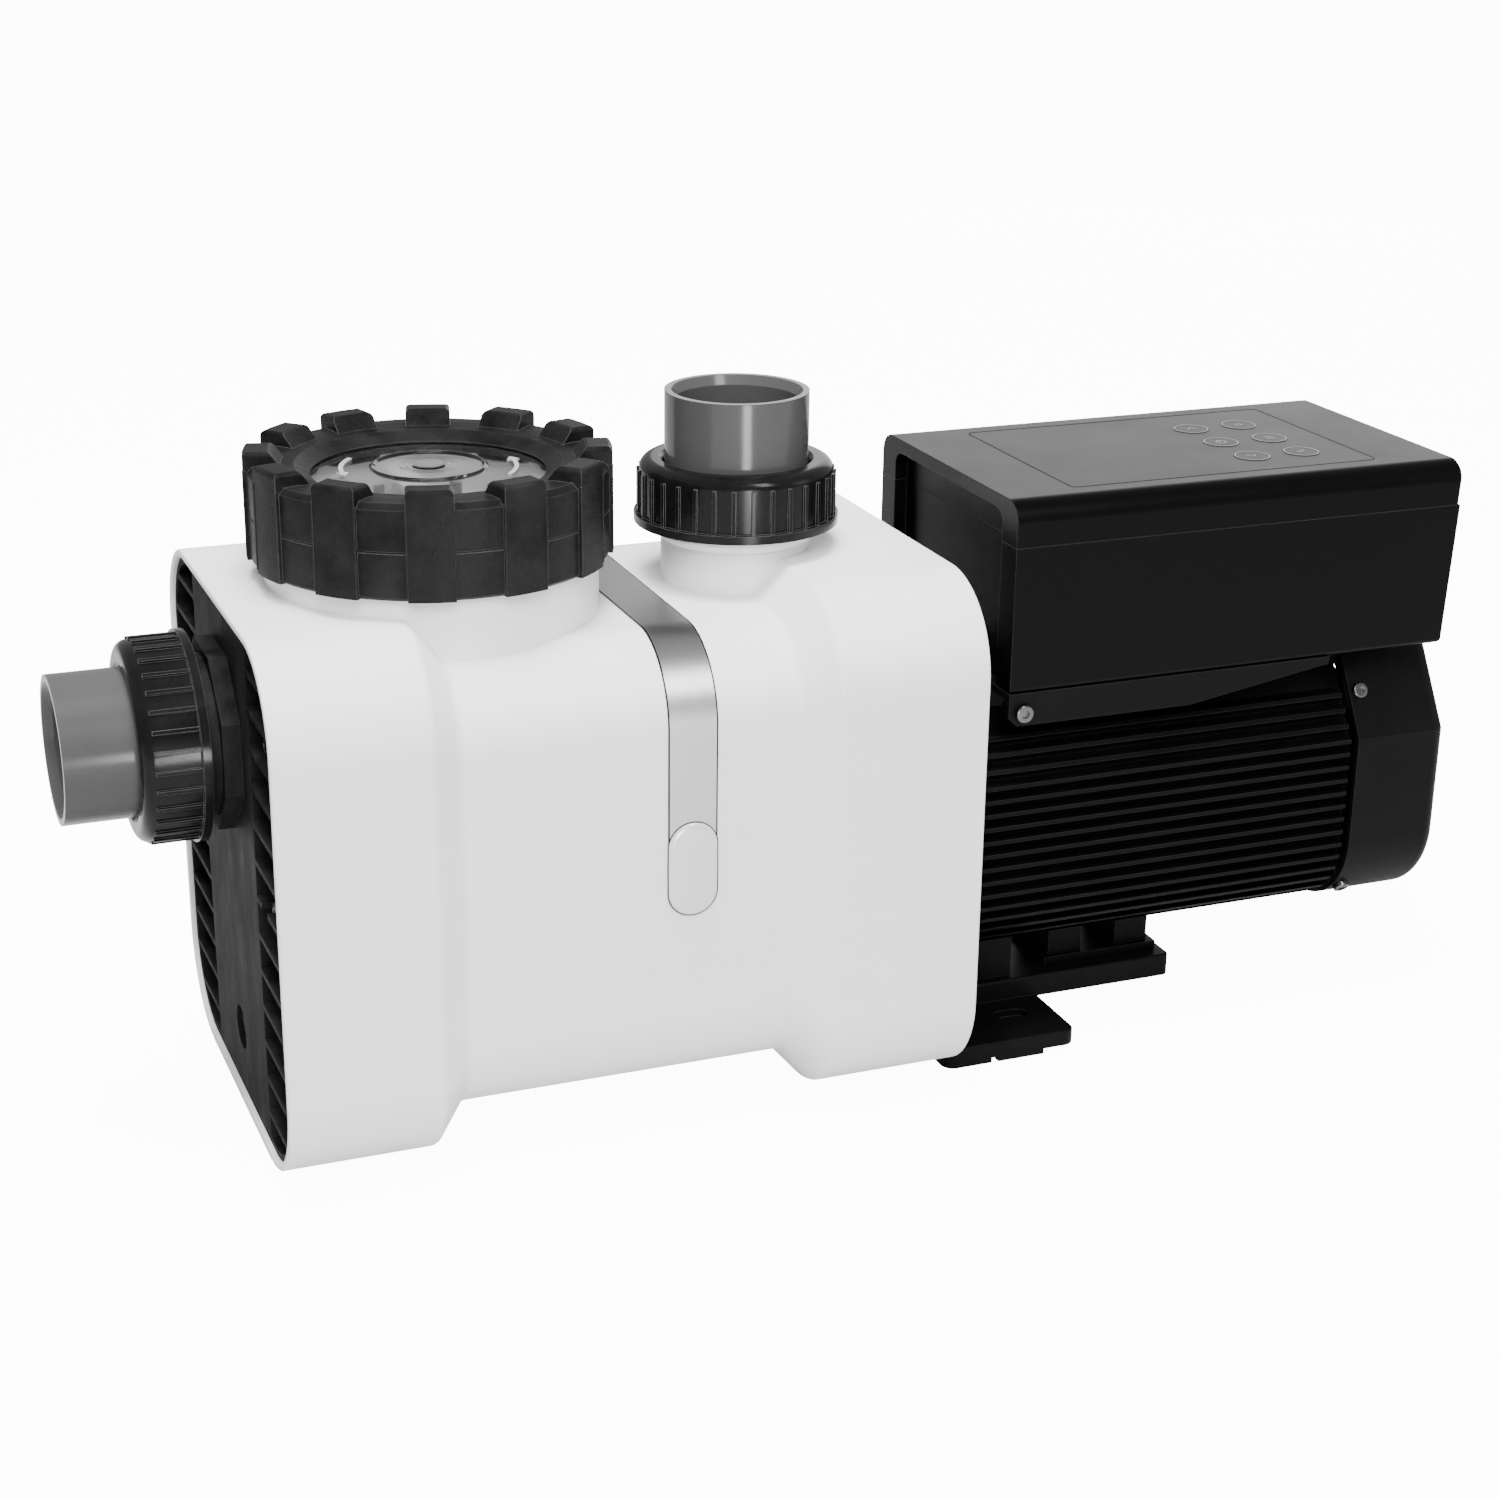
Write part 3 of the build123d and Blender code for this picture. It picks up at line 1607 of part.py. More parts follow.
def inverter_lid():
    """Lid of the control box with the foil's recess and the key wells."""
    lid = box_body(box_seam, box_top, 0.0)
    long_edges = lid.edges().filter_by(Axis.X).group_by(Axis.Z)[-1]
    lid = fillet(long_edges, box_corner)
    right_edge = lid.faces().sort_by(Axis.X)[-1].edges().sort_by(Axis.Z)[-1]
    lid = chamfer(right_edge, box_end_chamfer)
    lid -= hood_recess()
    lid -= box_body(box_seam - lap, box_top - box_lid_wall, box_side_wall) - hood_zone()
    lid -= Pos(0, 0, box_top - keypad_wall) * extrude(keypad_outline(), keypad_wall + lap)
    depth = key_height - key_proud + key_travel + key_well_spare
    for x, y in key_places():
        lid -= Pos(x, y, box_top) * rod(key_radius + gap, -depth, lap)
    return lid


def keypad():
    """Foil on the lid with a hole for each key."""
    foil = Pos(0, 0, box_top - keypad_wall) * extrude(keypad_outline(), keypad_wall)
    for x, y in key_places():
        foil -= Pos(x, y, box_top) * rod(key_radius + gap, -keypad_wall - lap, lap)
    return foil


def key(x, y):
    """One round key."""
    top = box_top + key_proud
    button = rod(key_radius, top - key_height, top)
    button = chamfer(button.edges().group_by(Axis.Z)[-1], key_chamfer)
    return Pos(x, y, 0) * button


def cable_gland():
    """Cable gland on the box's rear side."""
    plane = Plane(origin=(gland_x, box_half_width, gland_height), z_dir=(0, 1, 0))
    body = rod(gland_radius, -box_wall, gland_nut_wall)
    body += extrude(RegularPolygon(gland_nut_radius, 6), gland_nut_wall)
    body += rod(gland_radius, gland_nut_wall, gland_length)
    body = chamfer(body.edges().group_by(Axis.Z)[-1], gland_chamfer)
    return plane * (body - rod(gland_bore, -box_wall - lap, gland_length + lap))


def bracket_side():
    """Side outline of the bracket: full depth on the left, running out to the right."""
    left = box_left
    turn = left + bracket_length
    end = turn + bracket_slope
    points = Polyline(
        (left, box_bottom),
        (left, bracket_low + bracket_corner),
        (left + bracket_corner, bracket_low),
        (turn, bracket_low),
        (end, box_bottom - bracket_plate_wall),
        (end, box_bottom),
        close=True,
    )
    return Plane.XZ * make_face(points)


def bracket_screw_plane(side):
    """Plane on the outside of a bracket cheek at its screw."""
    origin = (box_left + bracket_screw_x, side * box_half_width, bracket_screw_height)
    return Plane(origin=origin, x_dir=(1, 0, 0), z_dir=(0, side, 0))


def box_bracket():
    """Saddle between motor and box with a cheek on each side."""
    half = box_half_width
    bracket = Pos(0, half, 0) * extrude(bracket_side(), 2 * half, dir=(0, -1, 0))
    inside = half - bracket_side_wall
    floor = box_bottom - bracket_plate_wall
    bracket -= block(box_left - lap, cowl_rear, -inside, inside, 0, floor)
    top = motor_top_half_width
    right = box_left + bracket_length + bracket_slope
    bracket += block(box_left, right, -top, top, motor_top, box_bottom - lap)
    for side in (-1, 1):
        plane = bracket_screw_plane(side)
        bracket += plane * rod(bracket_boss_radius, -bracket_boss_length, -lap)
        bracket -= plane * rod(bracket_screw_radius, lap - bracket_boss_length, lap)
    return bracket


def bracket_screws():
    """Screws in the bracket's cheeks."""
    one = screw(
        bracket_screw_radius,
        bracket_boss_length - 2 * lap,
        bracket_screw_head_radius,
        bracket_screw_head_height,
    )
    return Part() + [bracket_screw_plane(side) * one for side in (-1, 1)]


# ---------------------------------------------------------------- foot


def foot_plan():
    """Plan outline of the foot's cross flange."""
    centre = foot_left + foot_length / 2
    return Pos(centre, 0, 0) * RectangleRounded(foot_length, 2 * foot_half_width, foot_corner)


def base_foot():
    """T-shaped foot with two fixing holes and a beam under the motor."""
    foot = Pos(0, 0, foot_pad_height) * extrude(foot_plan(), foot_top - foot_pad_height)
    foot = fillet(foot.edges().group_by(Axis.Z)[-1], foot_round)
    for side in (-1, 1):
        for x in (foot_left, foot_left + foot_pad_width + foot_pad_gap):
            y0, y1 = sorted((side * foot_half_width * foot_pad_inner_share, side * foot_half_width))
            foot += block(x, x + foot_pad_width, y0, y1, 0, foot_pad_height + lap)
    foot &= extrude(foot_plan(), foot_top)
    post_left = foot_left + foot_post_inset
    post_right = foot_left + foot_post_length
    post = foot_post_half_width
    foot += block(post_left, post_right, -post, post, foot_pad_height, motor_low)
    beam = block(post_left, beam_right, -beam_half_width, beam_half_width, beam_low, beam_top)
    beam = fillet(beam.edges().filter_by(Axis.Z).group_by(Axis.X)[-1], beam_corner)
    foot += fillet(beam.edges().group_by(Axis.Z)[-1], foot_round)
    hollow = beam_half_width - beam_wall
    foot -= block(
        post_right + beam_wall, beam_right - beam_wall, -hollow, hollow, 0, beam_top - beam_wall
    )
    for side in (-1, 1):
        spot = Pos(foot_hole_x, side * foot_hole_y, 0)
        foot -= spot * rod(foot_hole_radius, -lap, foot_top + lap)
        pocket = extrude(SlotOverall(foot_pocket_length, foot_pocket_width), foot_pocket_depth + lap)
        foot -= spot * Pos(0, 0, foot_top - foot_pocket_depth) * pocket
    for x, y in foot_screw_places():
        foot -= Pos(x, y, 0) * rod(foot_screw_radius + gap, -lap, motor_low + lap)
        head = foot_screw_head_radius + foot_screw_head_gap
        foot -= Pos(x, y, 0) * rod(head, -lap, foot_screw_seat)
    return foot


def foot_screws():
    """Screws from below through the foot into the motor's rail."""
    length = foot_screw_grip + foot_screw_depth
    one = screw(foot_screw_radius, length, foot_screw_head_radius, foot_screw_head_height)
    one = Rot(180, 0, 0) * one
    return Part() + [Pos(x, y, foot_screw_seat) * one for x, y in foot_screw_places()]


def motor_saddle():
    """Two blocks on one base between the beam and the motor."""
    half = saddle_half_width
    left = saddle_left - saddle_margin
    right = saddle_left + saddle_pitch + saddle_block_length + saddle_margin
    base = beam_top + saddle_base_wall
    saddle = block(left, right, -half - saddle_margin, half + saddle_margin, beam_top, base)
    for x in (saddle_left, saddle_left + saddle_pitch):
        saddle += block(x, x + saddle_block_length, -half, half, beam_top, motor_low)
    return saddle


# ---------------------------------------------------------------- all pieces

pieces = {
    "cover_hood": cover_hood,
    "cover_tray": cover_tray,
    "trim_strip": trim_strip,
    "badge": badge,
    "strainer_housing": strainer_housing,
    "strainer_foot": strainer_foot,
    "strainer_basket": strainer_basket,
    "lid_o_ring": lid_o_ring,
    "sight_lid": sight_lid,
    "lid_ring": lid_ring,
    "end_panel": end_panel,
    "end_panel_screws": end_panel_screws,
    "drain_plug": drain_plug,
    "drain_o_ring": drain_o_ring,
    "suction_nut": lambda: suction_axis(union_nut()),
    "suction_tail": lambda: suction_axis(union_tail()),
    "suction_o_ring": lambda: suction_axis(union_seal()),
    "discharge_adapter": discharge_adapter,
    "discharge_nut": lambda: discharge_axis(union_nut()),
    "discharge_tail": lambda: discharge_axis(union_tail()),
    "discharge_o_ring": lambda: discharge_axis(union_seal()),
    "pump_casing": pump_casing,
    "inlet_o_ring": inlet_o_ring,
    "diffuser": diffuser,
    "impeller": impeller,
    "seal_rotating": seal_rotating,
    "seal_seat": seal_seat,
    "seal_housing": seal_housing,
    "casing_o_ring": casing_o_ring,
    "casing_bolts": casing_bolts,
    "motor_flange": motor_flange,
    "motor_housing": motor_housing,
    "stator": stator,
    "windings": windings,
    "rotor_core": rotor_core,
    "shaft": shaft,
    "front_bearing": front_bearing,
    "rear_bearing": rear_bearing,
    "slinger": slinger,
    "rear_shield": rear_shield,
    "fan_cowl": fan_cowl,
    "cowl_screws": cowl_screws,
    "fan": fan,
    "inverter_base": inverter_base,
    "inverter_lid": inverter_lid,
    "keypad": keypad,
    "control_board": control_board,
    "cable_gland": cable_gland,
    "box_bracket": box_bracket,
    "bracket_screws": bracket_screws,
    "base_foot": base_foot,
    "foot_screws": foot_screws,
    "motor_saddle": motor_saddle,
}

os.makedirs("parts", exist_ok=True)
to_origin = Pos(-foot_hole_x, 0, 0)
for name, make in pieces.items():
    export_step(to_origin * make(), f"parts/{name}.step")
for number, (key_x, key_y) in enumerate(key_places(), start=1):
    export_step(to_origin * key(key_x, key_y), f"parts/key_{number}.step")
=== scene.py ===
import json
import math
import bpy
from mathutils import Matrix, Vector


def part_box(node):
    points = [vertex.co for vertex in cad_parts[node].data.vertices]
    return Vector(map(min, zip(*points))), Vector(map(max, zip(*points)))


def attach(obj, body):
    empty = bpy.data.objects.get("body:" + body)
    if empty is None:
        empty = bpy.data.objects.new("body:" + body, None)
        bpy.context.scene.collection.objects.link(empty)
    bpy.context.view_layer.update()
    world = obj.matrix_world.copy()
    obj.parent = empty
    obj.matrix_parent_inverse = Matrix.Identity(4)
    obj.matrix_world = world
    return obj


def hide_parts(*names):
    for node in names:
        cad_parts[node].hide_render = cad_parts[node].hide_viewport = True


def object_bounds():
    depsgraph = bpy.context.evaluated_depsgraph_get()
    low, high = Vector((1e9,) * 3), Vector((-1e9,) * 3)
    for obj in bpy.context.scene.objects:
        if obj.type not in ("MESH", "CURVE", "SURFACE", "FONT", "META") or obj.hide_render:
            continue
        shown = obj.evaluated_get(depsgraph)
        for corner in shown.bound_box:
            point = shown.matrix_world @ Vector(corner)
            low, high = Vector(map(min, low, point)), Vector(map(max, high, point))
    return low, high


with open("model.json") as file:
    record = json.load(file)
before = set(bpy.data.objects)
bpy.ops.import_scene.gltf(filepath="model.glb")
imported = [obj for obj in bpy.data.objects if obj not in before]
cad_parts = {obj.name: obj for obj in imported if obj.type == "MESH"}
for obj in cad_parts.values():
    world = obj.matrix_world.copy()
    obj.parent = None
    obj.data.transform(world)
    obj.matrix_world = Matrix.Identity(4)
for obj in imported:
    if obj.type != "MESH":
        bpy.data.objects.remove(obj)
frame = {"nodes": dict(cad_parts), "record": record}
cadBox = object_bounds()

cadNodes = frame["nodes"]


def newGroup(name, inputs, outputs):
    group = bpy.data.node_groups.new(name, "ShaderNodeTree")
    for label, kind, value in inputs:
        socket = group.interface.new_socket(label, in_out="INPUT", socket_type=kind)
        socket.default_value = value
    for label, kind in outputs:
        group.interface.new_socket(label, in_out="OUTPUT", socket_type=kind)
    return group


def addNode(tree, kind, **settings):
    node = tree.nodes.new(kind)
    for key, value in settings.items():
        setattr(node, key, value)
    return node


grainLook = {"fineDetail": 3.0, "cloudDetail": 5.0, "cloudRoughness": 0.62, "cloudRange": (0.3, 0.7)}


def makeGrainGroup():
    # fine mould texture: a height for the bump and a cloudy mask for colour and gloss
    tree = newGroup(
        "mouldGrain",
        [("Scale", "NodeSocketFloat", 900.0), ("Cloud Scale", "NodeSocketFloat", 18.0),
         ("Stretch", "NodeSocketVector", (1.0, 1.0, 1.0))],
        [("Height", "NodeSocketFloat"), ("Cloud", "NodeSocketFloat")],
    )
    start = addNode(tree, "NodeGroupInput")
    end = addNode(tree, "NodeGroupOutput")
    place = addNode(tree, "ShaderNodeTexCoord")
    stretch = addNode(tree, "ShaderNodeVectorMath", operation="MULTIPLY")
    tree.links.new(place.outputs["Object"], stretch.inputs[0])
    tree.links.new(start.outputs["Stretch"], stretch.inputs[1])
    fine = addNode(tree, "ShaderNodeTexNoise")
    fine.inputs["Detail"].default_value = grainLook["fineDetail"]
    tree.links.new(stretch.outputs[0], fine.inputs["Vector"])
    tree.links.new(start.outputs["Scale"], fine.inputs["Scale"])
    cloud = addNode(tree, "ShaderNodeTexNoise")
    cloud.inputs["Detail"].default_value = grainLook["cloudDetail"]
    cloud.inputs["Roughness"].default_value = grainLook["cloudRoughness"]
    tree.links.new(stretch.outputs[0], cloud.inputs["Vector"])
    tree.links.new(start.outputs["Cloud Scale"], cloud.inputs["Scale"])
    tree.links.new(fine.outputs["Fac"], end.inputs["Height"])
    spread = addNode(tree, "ShaderNodeMapRange")
    thin, thick = grainLook["cloudRange"]
    spread.inputs["From Min"].default_value = thin
    spread.inputs["From Max"].default_value = thick
    tree.links.new(cloud.outputs["Fac"], spread.inputs["Value"])
    tree.links.new(spread.outputs["Result"], end.inputs["Cloud"])
    return tree


edgeLook = {"samples": 6, "nearlyFlat": 0.995, "fullyTurned": 0.75}


def makeEdgeGroup():
    # softened corners: the rounded normal, and a mask that grows as it turns from the true one
    tree = newGroup(
        "softEdges",
        [("Radius", "NodeSocketFloat", 0.0006)],
        [("Normal", "NodeSocketVector"), ("Edge", "NodeSocketFloat")],
    )
    start = addNode(tree, "NodeGroupInput")
    end = addNode(tree, "NodeGroupOutput")
    bevel = addNode(tree, "ShaderNodeBevel", samples=edgeLook["samples"])
    tree.links.new(start.outputs["Radius"], bevel.inputs["Radius"])
    surface = addNode(tree, "ShaderNodeNewGeometry")
    turn = addNode(tree, "ShaderNodeVectorMath", operation="DOT_PRODUCT")
    tree.links.new(bevel.outputs["Normal"], turn.inputs[0])
    tree.links.new(surface.outputs["Normal"], turn.inputs[1])
    mask = addNode(tree, "ShaderNodeMapRange")
    mask.inputs["From Min"].default_value = edgeLook["nearlyFlat"]
    mask.inputs["From Max"].default_value = edgeLook["fullyTurned"]
    tree.links.new(turn.outputs["Value"], mask.inputs["Value"])
    tree.links.new(bevel.outputs["Normal"], end.inputs["Normal"])
    tree.links.new(mask.outputs["Result"], end.inputs["Edge"])
    return tree


grainGroup = makeGrainGroup()
edgeGroup = makeEdgeGroup()
print("shader groups made")


def mixColours(tree, factor, low, high):
    # from one plain colour to another
    mix = addNode(tree, "ShaderNodeMix", data_type="RGBA")
    mix.inputs["A"].default_value = (*low, 1.0)
    mix.inputs["B"].default_value = (*high, 1.0)
    tree.links.new(factor, mix.inputs["Factor"])
    return mix.outputs["Result"]


def paintOver(tree, factor, base, paint):
    # a plain colour laid over what is there
    mix = addNode(tree, "ShaderNodeMix", data_type="RGBA")
    mix.inputs["B"].default_value = (*paint, 1.0)
    tree.links.new(factor, mix.inputs["Factor"])
    tree.links.new(base, mix.inputs["A"])
    return mix.outputs["Result"]


def spreadValue(tree, factor, low, high):
    # the factor, which runs from 0 to 1, over a range of its own
    spread = addNode(tree, "ShaderNodeMapRange")
    spread.inputs["To Min"].default_value = low
    spread.inputs["To Max"].default_value = high
    tree.links.new(factor, spread.inputs["Value"])
    return spread.outputs["Result"]


# what a finish has where its own settings don't say otherwise
plainFinish = {
    "metal": 0.0, "ior": 1.48, "specular": 0.5, "coat": 0.0, "coatRoughness": 0.1,
    "stretch": (1.0, 1.0, 1.0), "bump": 0.15, "bumpDepth": 0.0002, "edgeRadius": 0.0006, "edgeWearAndHighlight": 0.25,
}


def makeFinish(name, settings):
    # the grain varies colour, gloss and bump, and the edges get a colour of their own, partly wear and
    # partly painted highlight
    look = {**plainFinish, **settings}
    material = bpy.data.materials.new(name)
    material.use_nodes = True
    tree = material.node_tree
    shader = tree.nodes["Principled BSDF"]
    shader.inputs["Metallic"].default_value = look["metal"]
    shader.inputs["IOR"].default_value = look["ior"]
    shader.inputs["Specular IOR Level"].default_value = look["specular"]
    shader.inputs["Coat Weight"].default_value = look["coat"]
    shader.inputs["Coat Roughness"].default_value = look["coatRoughness"]
    grain = addNode(tree, "ShaderNodeGroup", node_tree=grainGroup)
    grain.inputs["Scale"].default_value = look["grainScale"]
    grain.inputs["Cloud Scale"].default_value = look["cloudScale"]
    grain.inputs["Stretch"].default_value = look["stretch"]
    edges = addNode(tree, "ShaderNodeGroup", node_tree=edgeGroup)
    edges.inputs["Radius"].default_value = look["edgeRadius"]
    colour = mixColours(tree, grain.outputs["Cloud"], look["dark"], look["light"])
    # painted edge highlight: where the edge colour is lighter than the finish, it stands mostly for light
    # caught along the edges, and partly for wear
    share = addNode(tree, "ShaderNodeMath", operation="MULTIPLY")
    share.inputs[1].default_value = look["edgeWearAndHighlight"]
    tree.links.new(edges.outputs["Edge"], share.inputs[0])
    wornAndHighlit = paintOver(tree, share.outputs[0], colour, look["edge"])
    tree.links.new(wornAndHighlit, shader.inputs["Base Color"])
    gloss = spreadValue(tree, grain.outputs["Cloud"], *look["roughness"])
    tree.links.new(gloss, shader.inputs["Roughness"])
    bump = addNode(tree, "ShaderNodeBump")
    bump.inputs["Strength"].default_value = look["bump"]
    bump.inputs["Distance"].default_value = look["bumpDepth"]
    tree.links.new(grain.outputs["Height"], bump.inputs["Height"])
    tree.links.new(edges.outputs["Normal"], bump.inputs["Normal"])
    tree.links.new(bump.outputs["Normal"], shader.inputs["Normal"])
    return material


def grey(value):
    return (value, value, value)


# each finish's edge colour is painted along its edges: partly wear, and where it is lighter than the
# finish, mostly a painted highlight
finishes = {
    "white_cover": {
        "dark": grey(0.80), "light": grey(0.84), "edge": grey(0.88), "roughness": (0.36, 0.46),
        "grainScale": 1400.0, "cloudScale": 6.0, "bump": 0.12, "edgeRadius": 0.0012,
    },
    "black_plastic": {
        "specular": 0.12, "dark": grey(0.008), "light": grey(0.014), "edge": grey(0.04),
        "roughness": (0.34, 0.5), "grainScale": 1100.0, "cloudScale": 26.0, "bump": 0.3,
    },
    "ring_plastic": {
        "specular": 0.09, "dark": grey(0.003), "light": grey(0.014), "edge": grey(0.09),
        "roughness": (0.3, 0.55), "grainScale": 900.0, "cloudScale": 42.0, "bump": 0.7,
        "bumpDepth": 0.0004, "edgeWearAndHighlight": 1.0,
    },
    "nut_plastic": {
        "specular": 0.16, "dark": grey(0.003), "light": grey(0.006), "edge": grey(0.09), "edgeWearAndHighlight": 1.0,
        "roughness": (0.16, 0.22), "grainScale": 900.0, "cloudScale": 60.0, "bump": 0.08,
    },
    "panel_plastic": {
        "specular": 0.04, "dark": grey(0.004), "light": grey(0.02), "edge": grey(0.06),
        "roughness": (0.5, 0.75), "grainScale": 900.0, "cloudScale": 50.0,
        "stretch": (1.0, 1.0, 0.4), "bump": 0.3,
    },
    "cowl_coat": {
        "specular": 0.08, "dark": grey(0.002), "light": grey(0.0034), "edge": grey(0.03),
        "roughness": (0.36, 0.44), "grainScale": 1600.0, "cloudScale": 20.0, "bump": 0.12,
        "edgeRadius": 0.0005, "edgeWearAndHighlight": 0.9,
    },
    "grey_pvc": {
        "dark": grey(0.05), "light": grey(0.058), "edge": grey(0.12), "roughness": (0.15, 0.19),
        "grainScale": 700.0, "cloudScale": 14.0, "bump": 0.06, "specular": 0.25,
    },
    "white_basket": {
        "dark": grey(0.66), "light": grey(0.74), "edge": grey(0.8), "roughness": (0.35, 0.5),
        "grainScale": 800.0, "cloudScale": 20.0,
    },
    "rubber": {
        "dark": grey(0.01), "light": grey(0.018), "edge": grey(0.03), "roughness": (0.6, 0.75),
        "grainScale": 1500.0, "cloudScale": 40.0,
    },
    "seal_ceramic": {
        "dark": grey(0.42), "light": grey(0.5), "edge": grey(0.6), "roughness": (0.2, 0.3),
        "grainScale": 900.0, "cloudScale": 30.0,
    },
    "steel": {
        "dark": grey(0.11), "light": grey(0.17), "edge": grey(0.4), "roughness": (0.22, 0.34), "metal": 1.0,
        "grainScale": 900.0, "cloudScale": 120.0, "bump": 0.08, "edgeRadius": 0.0003, "edgeWearAndHighlight": 0.8,
    },
    "core_steel": {
        "dark": grey(0.25), "light": grey(0.33), "edge": grey(0.5), "roughness": (0.4, 0.55), "metal": 1.0,
        "grainScale": 500.0, "cloudScale": 60.0, "stretch": (8.0, 1.0, 1.0),
    },
    "copper": {
        "dark": (0.45, 0.16, 0.06), "light": (0.6, 0.24, 0.1), "edge": (0.75, 0.36, 0.18),
        "roughness": (0.25, 0.4), "metal": 1.0, "grainScale": 300.0, "cloudScale": 60.0,
    },
    "black_aluminium": {
        "specular": 0.06, "dark": grey(0.002), "light": grey(0.0034), "edge": grey(0.03),
        "roughness": (0.3, 0.4), "grainScale": 1600.0, "cloudScale": 20.0, "bump": 0.2,
        "edgeRadius": 0.0005, "edgeWearAndHighlight": 0.9,
    },
    "black_box": {
        "specular": 0.092, "dark": grey(0.0006), "light": grey(0.001), "edge": grey(0.036),
        "roughness": (0.28, 0.34), "grainScale": 1800.0, "cloudScale": 12.0, "bump": 0.08,
        "edgeRadius": 0.0006, "edgeWearAndHighlight": 1.0,
    },
    "black_foil": {
        "specular": 0.1, "dark": grey(0.0012), "light": grey(0.002), "edge": grey(0.01),
        "roughness": (0.3, 0.36), "grainScale": 1500.0, "cloudScale": 10.0, "bump": 0.05,
        "edgeRadius": 0.0003,
    },
    "badge_face": {
        "dark": grey(0.6), "light": grey(0.66), "edge": grey(0.12), "roughness": (0.26, 0.32), "metal": 0.2,
        "grainScale": 900.0, "cloudScale": 30.0, "bump": 0.03, "coat": 1.0, "coatRoughness": 0.03,
        "edgeRadius": 0.0004, "edgeWearAndHighlight": 0.9,
    },
    "key_print": {
        "specular": 0.1, "dark": grey(0.16), "light": grey(0.2), "edge": grey(0.22),
        "roughness": (0.3, 0.36), "grainScale": 1500.0, "cloudScale": 10.0, "bump": 0.02,
        "edgeRadius": 0.0001,
    },
    "seam_shadow": {
        "specular": 0.05, "dark": grey(0.03), "light": grey(0.045), "edge": grey(0.08),
        "roughness": (0.5, 0.6), "grainScale": 1500.0, "cloudScale": 40.0, "bump": 0.05,
        "edgeRadius": 0.0001,
    },
    "gate_grey": {
        "specular": 0.1, "dark": grey(0.1), "light": grey(0.12), "edge": grey(0.2),
        "roughness": (0.4, 0.5), "grainScale": 900.0, "cloudScale": 60.0, "bump": 0.1,
        "edgeRadius": 0.0002,
    },
    "frosted": {
        "specular": 0.3, "dark": grey(0.3), "light": grey(0.36), "edge": grey(0.5),
        "roughness": (0.3, 0.4), "grainScale": 900.0, "cloudScale": 60.0, "bump": 0.1,
        "edgeRadius": 0.0002,
    },
    "foil_line": {
        "specular": 0.02, "dark": grey(0.001), "light": grey(0.0015), "edge": grey(0.003),
        "roughness": (0.6, 0.7), "grainScale": 1500.0, "cloudScale": 10.0, "bump": 0.02,
        "edgeRadius": 0.0001,
    },
    "board": {
        "dark": (0.01, 0.08, 0.03), "light": (0.015, 0.12, 0.045), "edge": (0.05, 0.2, 0.1),
        "roughness": (0.35, 0.45), "grainScale": 900.0, "cloudScale": 90.0,
    },
    "brushed_strip": {
        "dark": grey(0.46), "light": grey(0.49), "edge": grey(0.3), "roughness": (0.34, 0.38), "metal": 1.0,
        "grainScale": 3000.0, "cloudScale": 1500.0, "stretch": (1.0, 0.01, 0.01), "bump": 0.015,
        "edgeRadius": 0.0003,
    },
}

materials = {name: makeFinish(name, settings) for name, settings in finishes.items()}


stripLines = {"width": 0.0009, "solidShare": 0.7, "shade": 0.02}


def addStripLines(material):
    # fine dark lines along both long edges of the trim strip
    low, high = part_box("trim_strip")
    tree = material.node_tree
    shader = tree.nodes["Principled BSDF"]
    place = addNode(tree, "ShaderNodeTexCoord")
    across = addNode(tree, "ShaderNodeSeparateXYZ")
    offset = addNode(tree, "ShaderNodeMath", operation="SUBTRACT")
    offset.inputs[1].default_value = (low[0] + high[0]) / 2
    distance = addNode(tree, "ShaderNodeMath", operation="ABSOLUTE")
    line = addNode(tree, "ShaderNodeMapRange")
    half = (high[0] - low[0]) / 2
    width = stripLines["width"]
    line.inputs["From Min"].default_value = half - width
    line.inputs["From Max"].default_value = half - stripLines["solidShare"] * width
    tree.links.new(place.outputs["Object"], across.inputs[0])
    tree.links.new(across.outputs["X"], offset.inputs[0])
    tree.links.new(offset.outputs[0], distance.inputs[0])
    tree.links.new(distance.outputs[0], line.inputs["Value"])
    colour = shader.inputs["Base Color"].links[0].from_socket
    lined = paintOver(tree, line.outputs["Result"], colour, grey(stripLines["shade"]))
    tree.links.new(lined, shader.inputs["Base Color"])


clearLook = {"dark": (0.8835, 0.893, 0.893), "light": (0.93, 0.94, 0.94), "roughness": (0.02, 0.08),
             "ior": 1.5, "cloudScale": 60.0}


def makeClear(name):
    # the lid's clear plastic, faintly uneven in tint and gloss
    material = bpy.data.materials.new(name)
    material.use_nodes = True
    tree = material.node_tree
    shader = tree.nodes["Principled BSDF"]
    shader.inputs["Transmission Weight"].default_value = 1.0
    shader.inputs["IOR"].default_value = clearLook["ior"]
    grain = addNode(tree, "ShaderNodeGroup", node_tree=grainGroup)
    grain.inputs["Cloud Scale"].default_value = clearLook["cloudScale"]
    colour = mixColours(tree, grain.outputs["Cloud"], clearLook["dark"], clearLook["light"])
    tree.links.new(colour, shader.inputs["Base Color"])
    gloss = spreadValue(tree, grain.outputs["Cloud"], *clearLook["roughness"])
    tree.links.new(gloss, shader.inputs["Roughness"])
    return material


addStripLines(materials["brushed_strip"])
materials["clear_plastic"] = makeClear("clear_plastic")

slotOfNode = {part["node"]: part["material_slot"] for part in frame["record"]["subparts"]}
